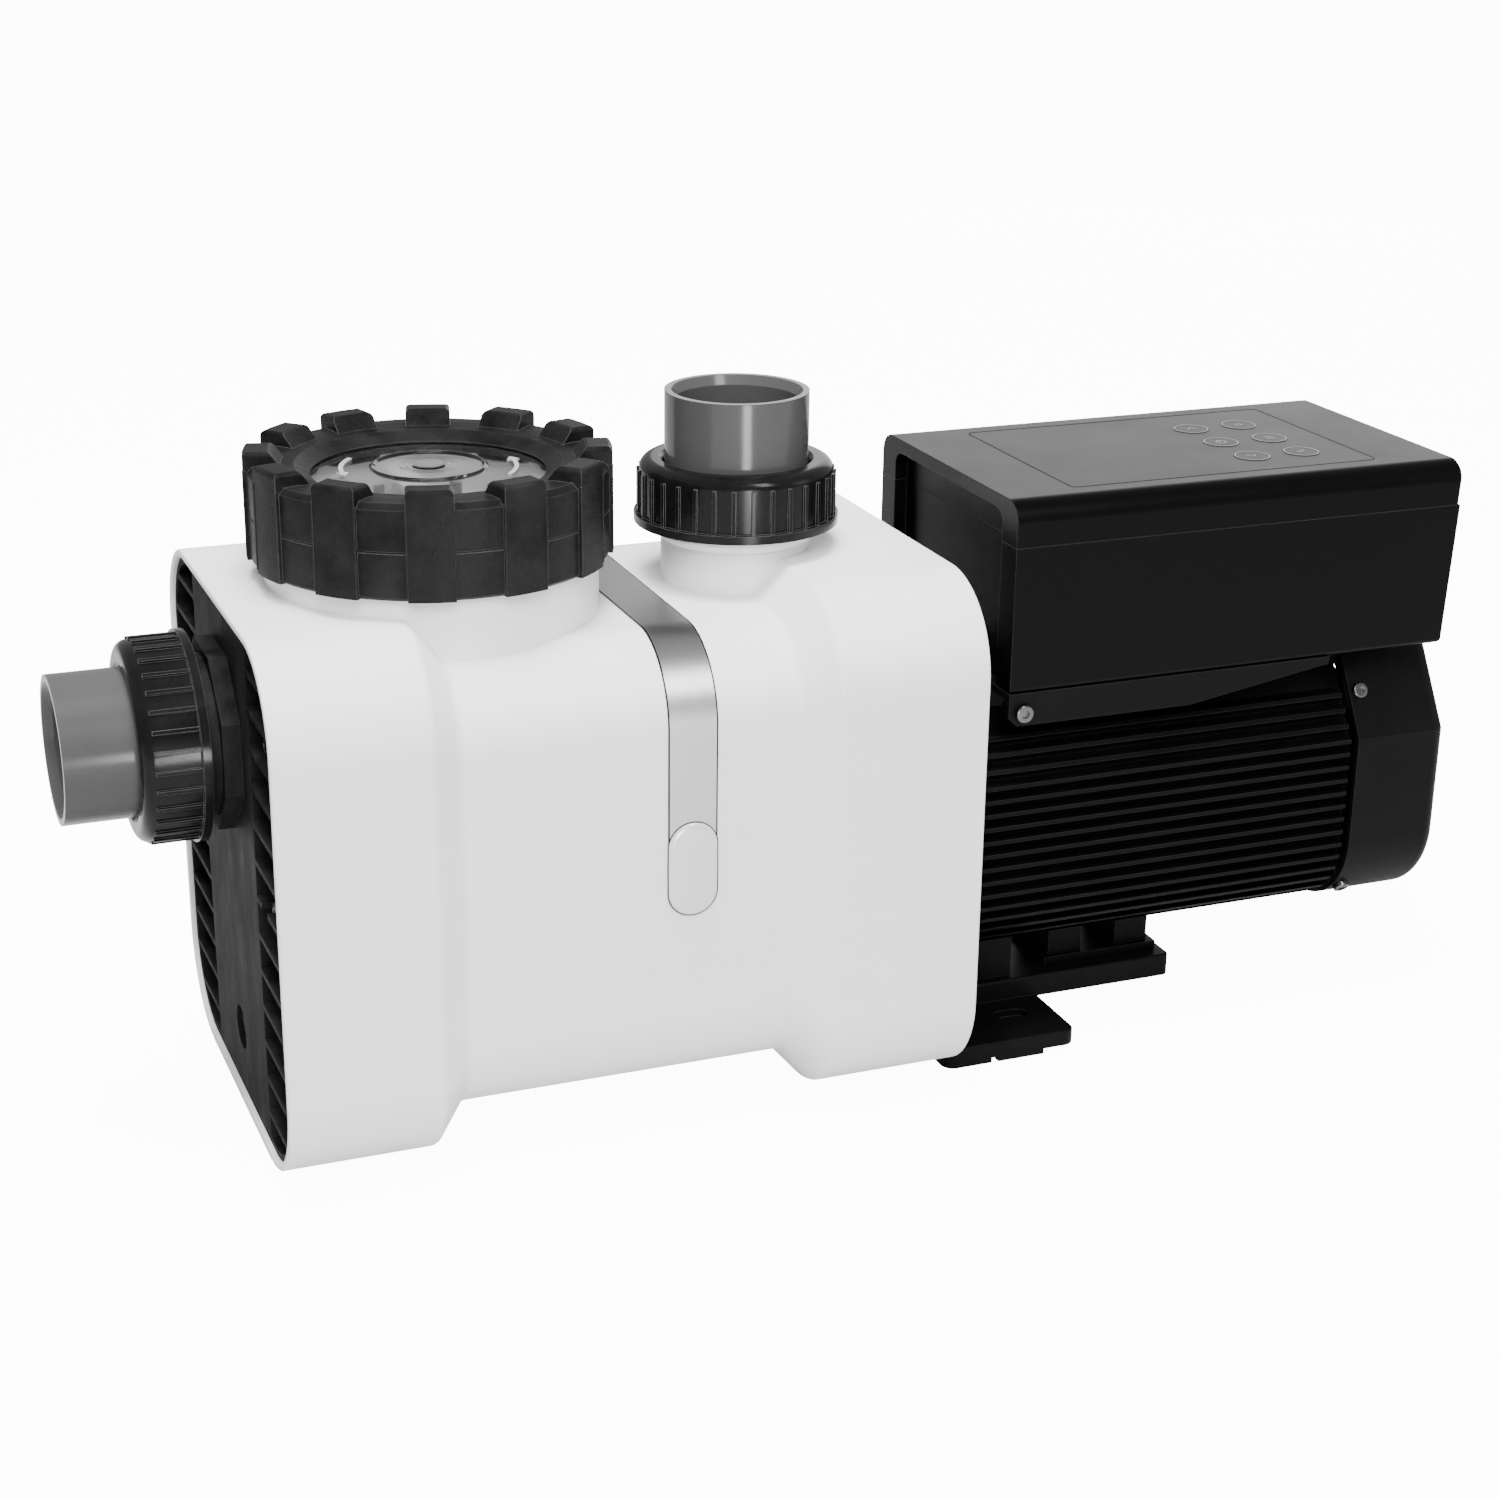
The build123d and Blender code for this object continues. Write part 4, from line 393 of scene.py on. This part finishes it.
# nodes whose finish differs from their slot's
finishOfNode = {
    "lid_ring": "ring_plastic",
    "suction_nut": "nut_plastic", "discharge_nut": "nut_plastic", "drain_plug": "nut_plastic",
    "end_panel": "panel_plastic", "strainer_housing": "panel_plastic", "strainer_foot": "panel_plastic",
    "fan_cowl": "cowl_coat", "box_bracket": "cowl_coat", "base_foot": "cowl_coat",
    "motor_saddle": "cowl_coat", "cable_gland": "cowl_coat",
}
for node, slot in slotOfNode.items():
    mesh = cadNodes[node].data
    mesh.materials.clear()
    mesh.materials.append(materials[finishOfNode.get(node, slot)])
print("materials on", len(slotOfNode), "pieces")


def clearSelection():
    bpy.ops.object.select_all(action="DESELECT")


def activate(piece):
    clearSelection()
    bpy.context.view_layer.objects.active = piece
    piece.select_set(True)


def boxOf(node):
    low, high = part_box(node)
    return Vector(low), Vector(high)


def selectVertices(piece, wanted):
    # points are picked by their place, then left selected in edit mode
    bpy.ops.object.mode_set(mode="EDIT")
    bpy.ops.mesh.select_mode(type="VERT")
    bpy.ops.mesh.select_all(action="DESELECT")
    bpy.ops.object.mode_set(mode="OBJECT")
    for vertex in piece.data.vertices:
        vertex.select = wanted(vertex.co)
    bpy.ops.object.mode_set(mode="EDIT")


def openMesh():
    # edit mode with everything selected
    bpy.ops.object.mode_set(mode="EDIT")
    bpy.ops.mesh.select_all(action="SELECT")


def closeMesh():
    # all faces turned outwards, then back to object mode
    bpy.ops.mesh.select_all(action="SELECT")
    bpy.ops.mesh.normals_make_consistent(inside=False)
    bpy.ops.object.mode_set(mode="OBJECT")


def raiseSheet(move):
    bpy.ops.mesh.extrude_region_move(TRANSFORM_OT_translate={"value": move})


def raiseRim(width, move):
    # the selected sheet is inset and emptied, and the rim that is left gets its height
    bpy.ops.mesh.inset(thickness=width)
    bpy.ops.mesh.delete(type="FACE")
    bpy.ops.mesh.select_all(action="SELECT")
    raiseSheet(move)
    closeMesh()


smoothAngle = 35  # degrees, past which an edge stays sharp


def settle(piece, name, body, finish):
    # place goes into the mesh, then the piece gets its finish and its body
    activate(piece)
    bpy.ops.object.transform_apply(location=True, rotation=True, scale=True)
    bpy.ops.object.shade_smooth_by_angle(angle=math.radians(smoothAngle))
    piece.name = name
    piece.data.name = name
    piece.data.materials.clear()
    piece.data.materials.append(materials[finish])
    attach(piece, body)


def copyTurned(piece, turn, pivot):
    # a copy with its own mesh, turned about an upright axis
    activate(piece)
    bpy.ops.object.duplicate(linked=False)
    copy = bpy.context.object
    bpy.ops.transform.rotate(value=turn, orient_axis="Z", center_override=pivot)
    return copy


def flatRing(centre, radius, width, height, points=48):
    # a low raised ring, from the level of its centre up
    clearSelection()
    bpy.ops.mesh.primitive_circle_add(vertices=points, radius=radius + width / 2, fill_type="NGON",
                                      location=centre)
    ring = bpy.context.object
    openMesh()
    raiseRim(width, (0, 0, height))
    return ring


easedShare = 0.3  # of a bar's least size


def bar(centre, size, turn=0.0):
    # a bar with eased edges
    clearSelection()
    bpy.ops.mesh.primitive_cube_add(size=1.0, location=centre, rotation=(0, 0, turn))
    piece = bpy.context.object
    piece.scale = size
    bpy.ops.object.transform_apply(location=False, rotation=False, scale=True)
    openMesh()
    bpy.ops.mesh.bevel(offset=easedShare * min(size), segments=2, affect="EDGES")
    bpy.ops.object.mode_set(mode="OBJECT")
    return piece


def joined(parts):
    clearSelection()
    for part in parts:
        part.select_set(True)
    bpy.context.view_layer.objects.active = parts[0]
    bpy.ops.object.join()
    return bpy.context.object


keyMarks = {"signs": ("down", "enter", "power", "menu", "up", "pause"), "ringWidth": 0.0006,
            "ringShare": 0.969, "lift": 0.00012, "stroke": 0.0007, "reach": 0.0034,
            "powerShare": 0.8, "powerPoints": 32}
# each stroke's place across and up and its length, in shares of the reach, then its turn in degrees
signStrokes = {
    "up": ((-0.42, 0.0, 1.2, 50), (0.42, 0.0, 1.2, -50)),
    "down": ((-0.42, 0.0, 1.2, -50), (0.42, 0.0, 1.2, 50)),
    "menu": ((0.0, 0.6, 1.7, 0), (0.0, 0.0, 1.7, 0), (0.0, -0.6, 1.7, 0)),
    "pause": ((-0.4, 0.0, 1.5, 90), (0.4, 0.0, 1.5, 90)),
    "enter": ((0.55, 0.35, 0.8, 90), (-0.1, -0.05, 1.3, 0), (-0.55, 0.12, 0.6, 40),
              (-0.55, -0.22, 0.6, -40)),
    "power": ((0.0, 0.6, 1.0, 90),),
}


def signParts(sign, x, y, z):
    # bars, and round the power sign's bar a ring
    reach, stroke, lift = keyMarks["reach"], keyMarks["stroke"], keyMarks["lift"]
    parts = []
    for across, up, length, turn in signStrokes[sign]:
        centre = (x + across * reach, y + up * reach, z + lift / 2)
        parts.append(bar(centre, (length * reach, stroke, lift), math.radians(turn)))
    if sign == "power":
        parts.append(flatRing((x, y, z), keyMarks["powerShare"] * reach, stroke, lift,
                              points=keyMarks["powerPoints"]))
    return parts


def makeKeyMarks():
    # a raised outline and a plain sign on each key
    for number, sign in enumerate(keyMarks["signs"], start=1):
        low, high = boxOf(f"key_{number}")
        middle = (low + high) / 2
        top = high.z
        radius = keyMarks["ringShare"] * (high.x - low.x) / 2
        parts = [flatRing((middle.x, middle.y, top), radius, keyMarks["ringWidth"], keyMarks["lift"])]
        parts += signParts(sign, middle.x, middle.y, top)
        settle(joined(parts), f"key_mark_{number}", f"key_{number}_body", "key_print")


badgeLook = {"points": 64, "domeLift": 0.0017, "edgeInset": 0.0034, "edgeShare": 0.85, "steps": 6,
             "crownInset": 0.0022, "crownShares": (0.1, 0.05), "rimWidth": 0.0005, "rimLift": 0.0003}


def stadium(radius, straight, centre):
    # an upright oval facing forwards: a disc parted in the middle
    clearSelection()
    bpy.ops.mesh.primitive_circle_add(vertices=badgeLook["points"], radius=radius, fill_type="NGON",
                                      location=centre, rotation=(math.radians(90), 0, 0))
    oval = bpy.context.object
    bpy.ops.object.transform_apply(location=False, rotation=True, scale=True)
    for side in (1, -1):
        selectVertices(oval, lambda place: side * place.z > 0)
        bpy.ops.transform.translate(value=(0, 0, side * straight))
    bpy.ops.mesh.select_mode(type="FACE")
    bpy.ops.mesh.select_all(action="SELECT")
    return oval


def badgeShape():
    # the CAD badge's box, the radius of its round ends and half the straight between them
    low, high = boxOf("badge")
    radius = (high.x - low.x) / 2
    straight = (high.z - low.z) / 2 - radius
    return low, high, radius, straight


def makeBadge():
    # the badge with a swollen face, pale silver under a clear coat
    low, high, radius, straight = badgeShape()
    badge = stadium(radius, straight, ((low.x + high.x) / 2, high.y, (low.z + high.z) / 2))
    rise, steps = badgeLook["domeLift"], badgeLook["steps"]
    raiseSheet((0, low.y - high.y + rise, 0))
    for step in range(steps):
        # the edge turns over like a quarter of an ellipse, steep first
        before, after = (math.radians(90 * turn / steps) for turn in (step, step + 1))
        bpy.ops.mesh.inset(thickness=badgeLook["edgeInset"] * (math.cos(before) - math.cos(after)))
        lift = badgeLook["edgeShare"] * rise * (math.sin(after) - math.sin(before))
        bpy.ops.transform.translate(value=(0, -lift, 0))
    for share in badgeLook["crownShares"]:
        bpy.ops.mesh.inset(thickness=badgeLook["crownInset"])
        bpy.ops.transform.translate(value=(0, -share * rise, 0))
    closeMesh()
    settle(badge, "badge_dome", "pump", "badge_face")
    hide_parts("badge")


def makeBadgeRim():
    # the dark line where the badge sits in the strip
    low, high, radius, straight = badgeShape()
    width = badgeLook["rimWidth"]
    stripFront = boxOf("trim_strip")[0].y
    rim = stadium(radius + width, straight, ((low.x + high.x) / 2, stripFront, (low.z + high.z) / 2))
    raiseRim(width, (0, -badgeLook["rimLift"], 0))
    settle(rim, "badge_rim", "pump", "seam_shadow")


# the first lug's place is in steps from lug to lug, and the tab's angle in degrees
ringFlash = {"lugs": 12, "firstLug": 0.5, "lugRadius": 0.0913, "lugHalfWidth": 0.0115,
             "width": 0.0009, "depth": 0.0016, "proud": 0.0004, "footGap": 0.002, "topGap": 0.0085,
             "tabAngle": -15, "tabSize": (0.0024, 0.005, 0.0045)}


def makeRingFlash():
    # moulding flash: an upright ridge down both sides of every lug of the screw ring, and one small tab
    low, high = boxOf("lid_ring")
    middle = (low + high) / 2
    reach = ringFlash["lugRadius"] + ringFlash["proud"] - ringFlash["depth"] / 2
    bottom, top = low.z + ringFlash["footGap"], high.z - ringFlash["topGap"]
    ridge = bar((middle.x + reach, middle.y, (bottom + top) / 2),
                (ringFlash["depth"], ringFlash["width"], top - bottom))
    lean = math.asin(ringFlash["lugHalfWidth"] / ringFlash["lugRadius"])
    ridges = []
    for lug in range(ringFlash["lugs"]):
        for side in (-1, 1):
            turn = math.radians(360 * (lug + ringFlash["firstLug"]) / ringFlash["lugs"]) + side * lean
            ridges.append(copyTurned(ridge, turn, middle))
    bpy.data.objects.remove(ridge)
    tab = bar((middle.x + ringFlash["lugRadius"], middle.y, low.z + ringFlash["tabSize"][2] / 2),
              ringFlash["tabSize"])
    ridges.append(copyTurned(tab, math.radians(ringFlash["tabAngle"]), middle))
    bpy.data.objects.remove(tab)
    settle(joined(ridges), "ring_flash", "ring", "ring_plastic")


# drops are measured down from the lid's crown, and the arrows' angles are in degrees
lidMarks = {"gateRadius": 0.0079, "gatePoints": 48, "gateLift": 0.0004, "gateInset": 0.0008,
            "gateCrown": 0.0001, "circles": (0.0112, 0.0142), "circleWidth": 0.0009,
            "circleLift": 0.0007, "circleDrop": 0.0011, "arcPoints": 96, "arrowAngles": (160, 340),
            "shaftHalfAngle": 20, "headAngle": 22, "arrowRadius": 0.0435, "arrowWidth": 0.0022,
            "arrowLift": 0.0011, "arrowDrop": 0.0021, "arrowHead": 0.0038}


def turnArrow(middle, level, angle):
    # a plain raised arrow that follows the lid round: a ring cut to its arc, with a pointed head
    radius, lift = lidMarks["arrowRadius"], lidMarks["arrowLift"]
    shaft = flatRing((middle.x, middle.y, level), radius, lidMarks["arrowWidth"], lift,
                     points=lidMarks["arcPoints"])
    bpy.ops.object.mode_set(mode="EDIT")
    for side in (-1, 1):
        # both cut planes stand upright through the lid's axis
        end = math.radians(angle + side * lidMarks["shaftHalfAngle"])
        bpy.ops.mesh.select_all(action="SELECT")
        bpy.ops.mesh.bisect(plane_co=middle, plane_no=(-side * math.sin(end), side * math.cos(end), 0),
                            use_fill=True, clear_outer=True)
    bpy.ops.object.mode_set(mode="OBJECT")
    turn = math.radians(angle + lidMarks["headAngle"])
    place = (middle.x + radius * math.cos(turn), middle.y + radius * math.sin(turn), level)
    clearSelection()
    bpy.ops.mesh.primitive_circle_add(vertices=3, radius=lidMarks["arrowHead"], fill_type="NGON",
                                      location=place, rotation=(0, 0, turn))
    head = bpy.context.object
    openMesh()
    raiseSheet((0, 0, lift))
    closeMesh()
    return joined([shaft, head])


def makeLidGate(middle, top):
    # the small disc at the lid's centre, where it was moulded
    clearSelection()
    bpy.ops.mesh.primitive_circle_add(vertices=lidMarks["gatePoints"], radius=lidMarks["gateRadius"],
                                      fill_type="NGON", location=(middle.x, middle.y, top))
    gate = bpy.context.object
    openMesh()
    raiseSheet((0, 0, lidMarks["gateLift"]))
    bpy.ops.mesh.inset(thickness=lidMarks["gateInset"])
    bpy.ops.transform.translate(value=(0, 0, lidMarks["gateCrown"]))
    closeMesh()
    settle(gate, "lid_gate", "lid", "gate_grey")


def makeLidMarks():
    # the centre disc, the fine raised circles round it and the two arrows further out
    low, high = boxOf("sight_lid")
    middle = (low + high) / 2
    makeLidGate(middle, high.z)
    for number, radius in enumerate(lidMarks["circles"], start=1):
        circle = flatRing((middle.x, middle.y, high.z - lidMarks["circleDrop"]), radius,
                          lidMarks["circleWidth"], lidMarks["circleLift"], points=lidMarks["arcPoints"])
        settle(circle, f"lid_circle_{number}", "lid", "clear_plastic")
    for number, angle in enumerate(lidMarks["arrowAngles"], start=1):
        arrow = turnArrow(middle, high.z - lidMarks["arrowDrop"], angle)
        settle(arrow, f"lid_arrow_{number}", "lid", "frosted")


foilLine = {"margin": 0.0015, "corner": 0.004, "cornerSteps": 6, "width": 0.0005, "lift": 0.00008}


def makeFoilLine():
    # the keypad's outline, a fine dark line just inside the foil's edge
    low, high = boxOf("keypad")
    middle, size = (low + high) / 2, high - low
    clearSelection()
    bpy.ops.mesh.primitive_plane_add(size=1.0, location=(middle.x, middle.y, high.z))
    line = bpy.context.object
    line.scale = (size.x - 2 * foilLine["margin"], size.y - 2 * foilLine["margin"], 1)
    bpy.ops.object.transform_apply(location=False, rotation=False, scale=True)
    openMesh()
    bpy.ops.mesh.bevel(offset=foilLine["corner"], segments=foilLine["cornerSteps"], affect="VERTICES")
    bpy.ops.mesh.select_all(action="SELECT")
    raiseRim(foilLine["width"], (0, 0, foilLine["lift"]))
    settle(line, "foil_outline", "pump", "foil_line")


makeKeyMarks()
makeBadge()
makeBadgeRim()
makeFoilLine()
print("keypad marks and badge made")
makeRingFlash()
makeLidMarks()
print("lid and ring details made")


studio = {
    "floor": {"size": 24.0, "dark": grey(0.59), "light": grey(0.6), "cloudScale": 2.0,
              "roughness": 0.85, "specular": 0.1},
    "world": 0.5, "seenGlow": 12.0,
    "lights": {
        "keyLight": {"place": (-0.9, -2.5, 2.5), "size": 1.8, "power": 170.0, "sheen": False},
        "topLight": {"place": (-0.4, -0.3, 2.8), "size": 1.4, "power": 180.0, "sheen": False},
        "fillLight": {"place": (2.4, -1.4, 1.0), "size": 1.2, "power": 8.0, "sheen": True},
        "backLight": {"place": (1.5, 2.35, 0.8), "size": 1.75, "power": 13.0, "sheen": True},
    },
    "glossPanels": {
        "lowPanel": {"place": (-0.24, -1.0, 0.16), "target": (-0.25, 0.0, 0.25), "width": 0.2,
                     "height": 0.2, "power": 5.0},
        "highPanel": {"place": (0.15, -1.1, 1.25), "target": (-0.2, -0.1, 0.25), "width": 0.35,
                      "height": 0.7, "power": 16.0},
    },
}


def seenOnly(tree, strength):
    # lights what is looked at directly, without lighting the pump
    path = addNode(tree, "ShaderNodeLightPath")
    glow = addNode(tree, "ShaderNodeMath", operation="MULTIPLY")
    glow.inputs[1].default_value = strength
    tree.links.new(path.outputs["Is Camera Ray"], glow.inputs[0])
    return glow.outputs[0]


def addFloor():
    # a wide sheet of pale paper
    look = studio["floor"]
    bpy.ops.mesh.primitive_plane_add(size=look["size"], location=(0, 0, 0))
    floor = bpy.context.object
    floor.name = "floor"
    material = bpy.data.materials.new("floorPaper")
    material.use_nodes = True
    tree = material.node_tree
    shader = tree.nodes["Principled BSDF"]
    grain = addNode(tree, "ShaderNodeGroup", node_tree=grainGroup)
    grain.inputs["Cloud Scale"].default_value = look["cloudScale"]
    colour = mixColours(tree, grain.outputs["Cloud"], look["dark"], look["light"])
    tree.links.new(colour, shader.inputs["Base Color"])
    shader.inputs["Roughness"].default_value = look["roughness"]
    shader.inputs["Specular IOR Level"].default_value = look["specular"]
    shader.inputs["Emission Color"].default_value = (1.0, 1.0, 1.0, 1.0)
    tree.links.new(seenOnly(tree, studio["seenGlow"]), shader.inputs["Emission Strength"])
    floor.data.materials.append(material)


def aimedLight(name, lamp, target):
    # an area light that faces its target
    bpy.ops.object.light_add(type="AREA", location=lamp["place"])
    light = bpy.context.object
    light.name = name
    light.data.energy = lamp["power"]
    aim = Vector(target) - Vector(lamp["place"])
    light.rotation_euler = aim.to_track_quat("-Z", "Y").to_euler()
    return light


def addLight(name, lamp, target):
    light = aimedLight(name, lamp, target)
    light.data.shape = "DISK"
    light.data.size = lamp["size"]
    light.visible_glossy = lamp["sheen"]


def addGlossPanel(name, panel):
    # a small soft panel that shows only as a sheen, on the round and the metal pieces
    light = aimedLight(name, panel, panel["target"])
    light.data.shape = "RECTANGLE"
    light.data.size, light.data.size_y = panel["width"], panel["height"]
    light.visible_camera = False
    light.visible_diffuse = False


view = {"azimuth": 21.82, "elevation": 21.06, "roll": 0.73, "lens": 65.41, "sensor": 36.0,
        "shift": 0.029, "place": (-0.6525, -1.2864, 0.6767), "reach": 50.0}


def addCamera():
    # stands off the suction end's front, looking down along the pump
    bpy.ops.object.camera_add(location=view["place"])
    camera = bpy.context.object
    camera.data.lens = view["lens"]
    camera.data.sensor_width = view["sensor"]
    camera.data.shift_y = view["shift"]
    camera.data.clip_end = view["reach"]
    azimuth, elevation, roll = (math.radians(view[key]) for key in ("azimuth", "elevation", "roll"))
    level = math.cos(elevation)
    ahead = Vector((math.sin(azimuth) * level, math.cos(azimuth) * level, -math.sin(elevation)))
    turn = ahead.to_track_quat("-Z", "Y").to_matrix()
    camera.rotation_euler = (turn @ Matrix.Rotation(roll, 3, "Z")).to_euler()
    bpy.context.scene.camera = camera


def addWorld():
    # an even white sky, brighter where it is looked at directly
    world = bpy.data.worlds.new("studioWorld")
    world.use_nodes = True
    tree = world.node_tree
    background = tree.nodes["Background"]
    background.inputs["Color"].default_value = (1.0, 1.0, 1.0, 1.0)
    strength = addNode(tree, "ShaderNodeMath", operation="ADD")
    strength.inputs[1].default_value = studio["world"]
    tree.links.new(seenOnly(tree, studio["seenGlow"]), strength.inputs[0])
    tree.links.new(strength.outputs[0], background.inputs["Strength"])
    bpy.context.scene.world = world


clearSelection()
addFloor()
centre = (cadBox[0] + cadBox[1]) / 2
for lightName, lamp in studio["lights"].items():
    addLight(lightName, lamp, centre)
for panelName, panel in studio["glossPanels"].items():
    addGlossPanel(panelName, panel)
addWorld()
addCamera()
print("floor, light and camera set")
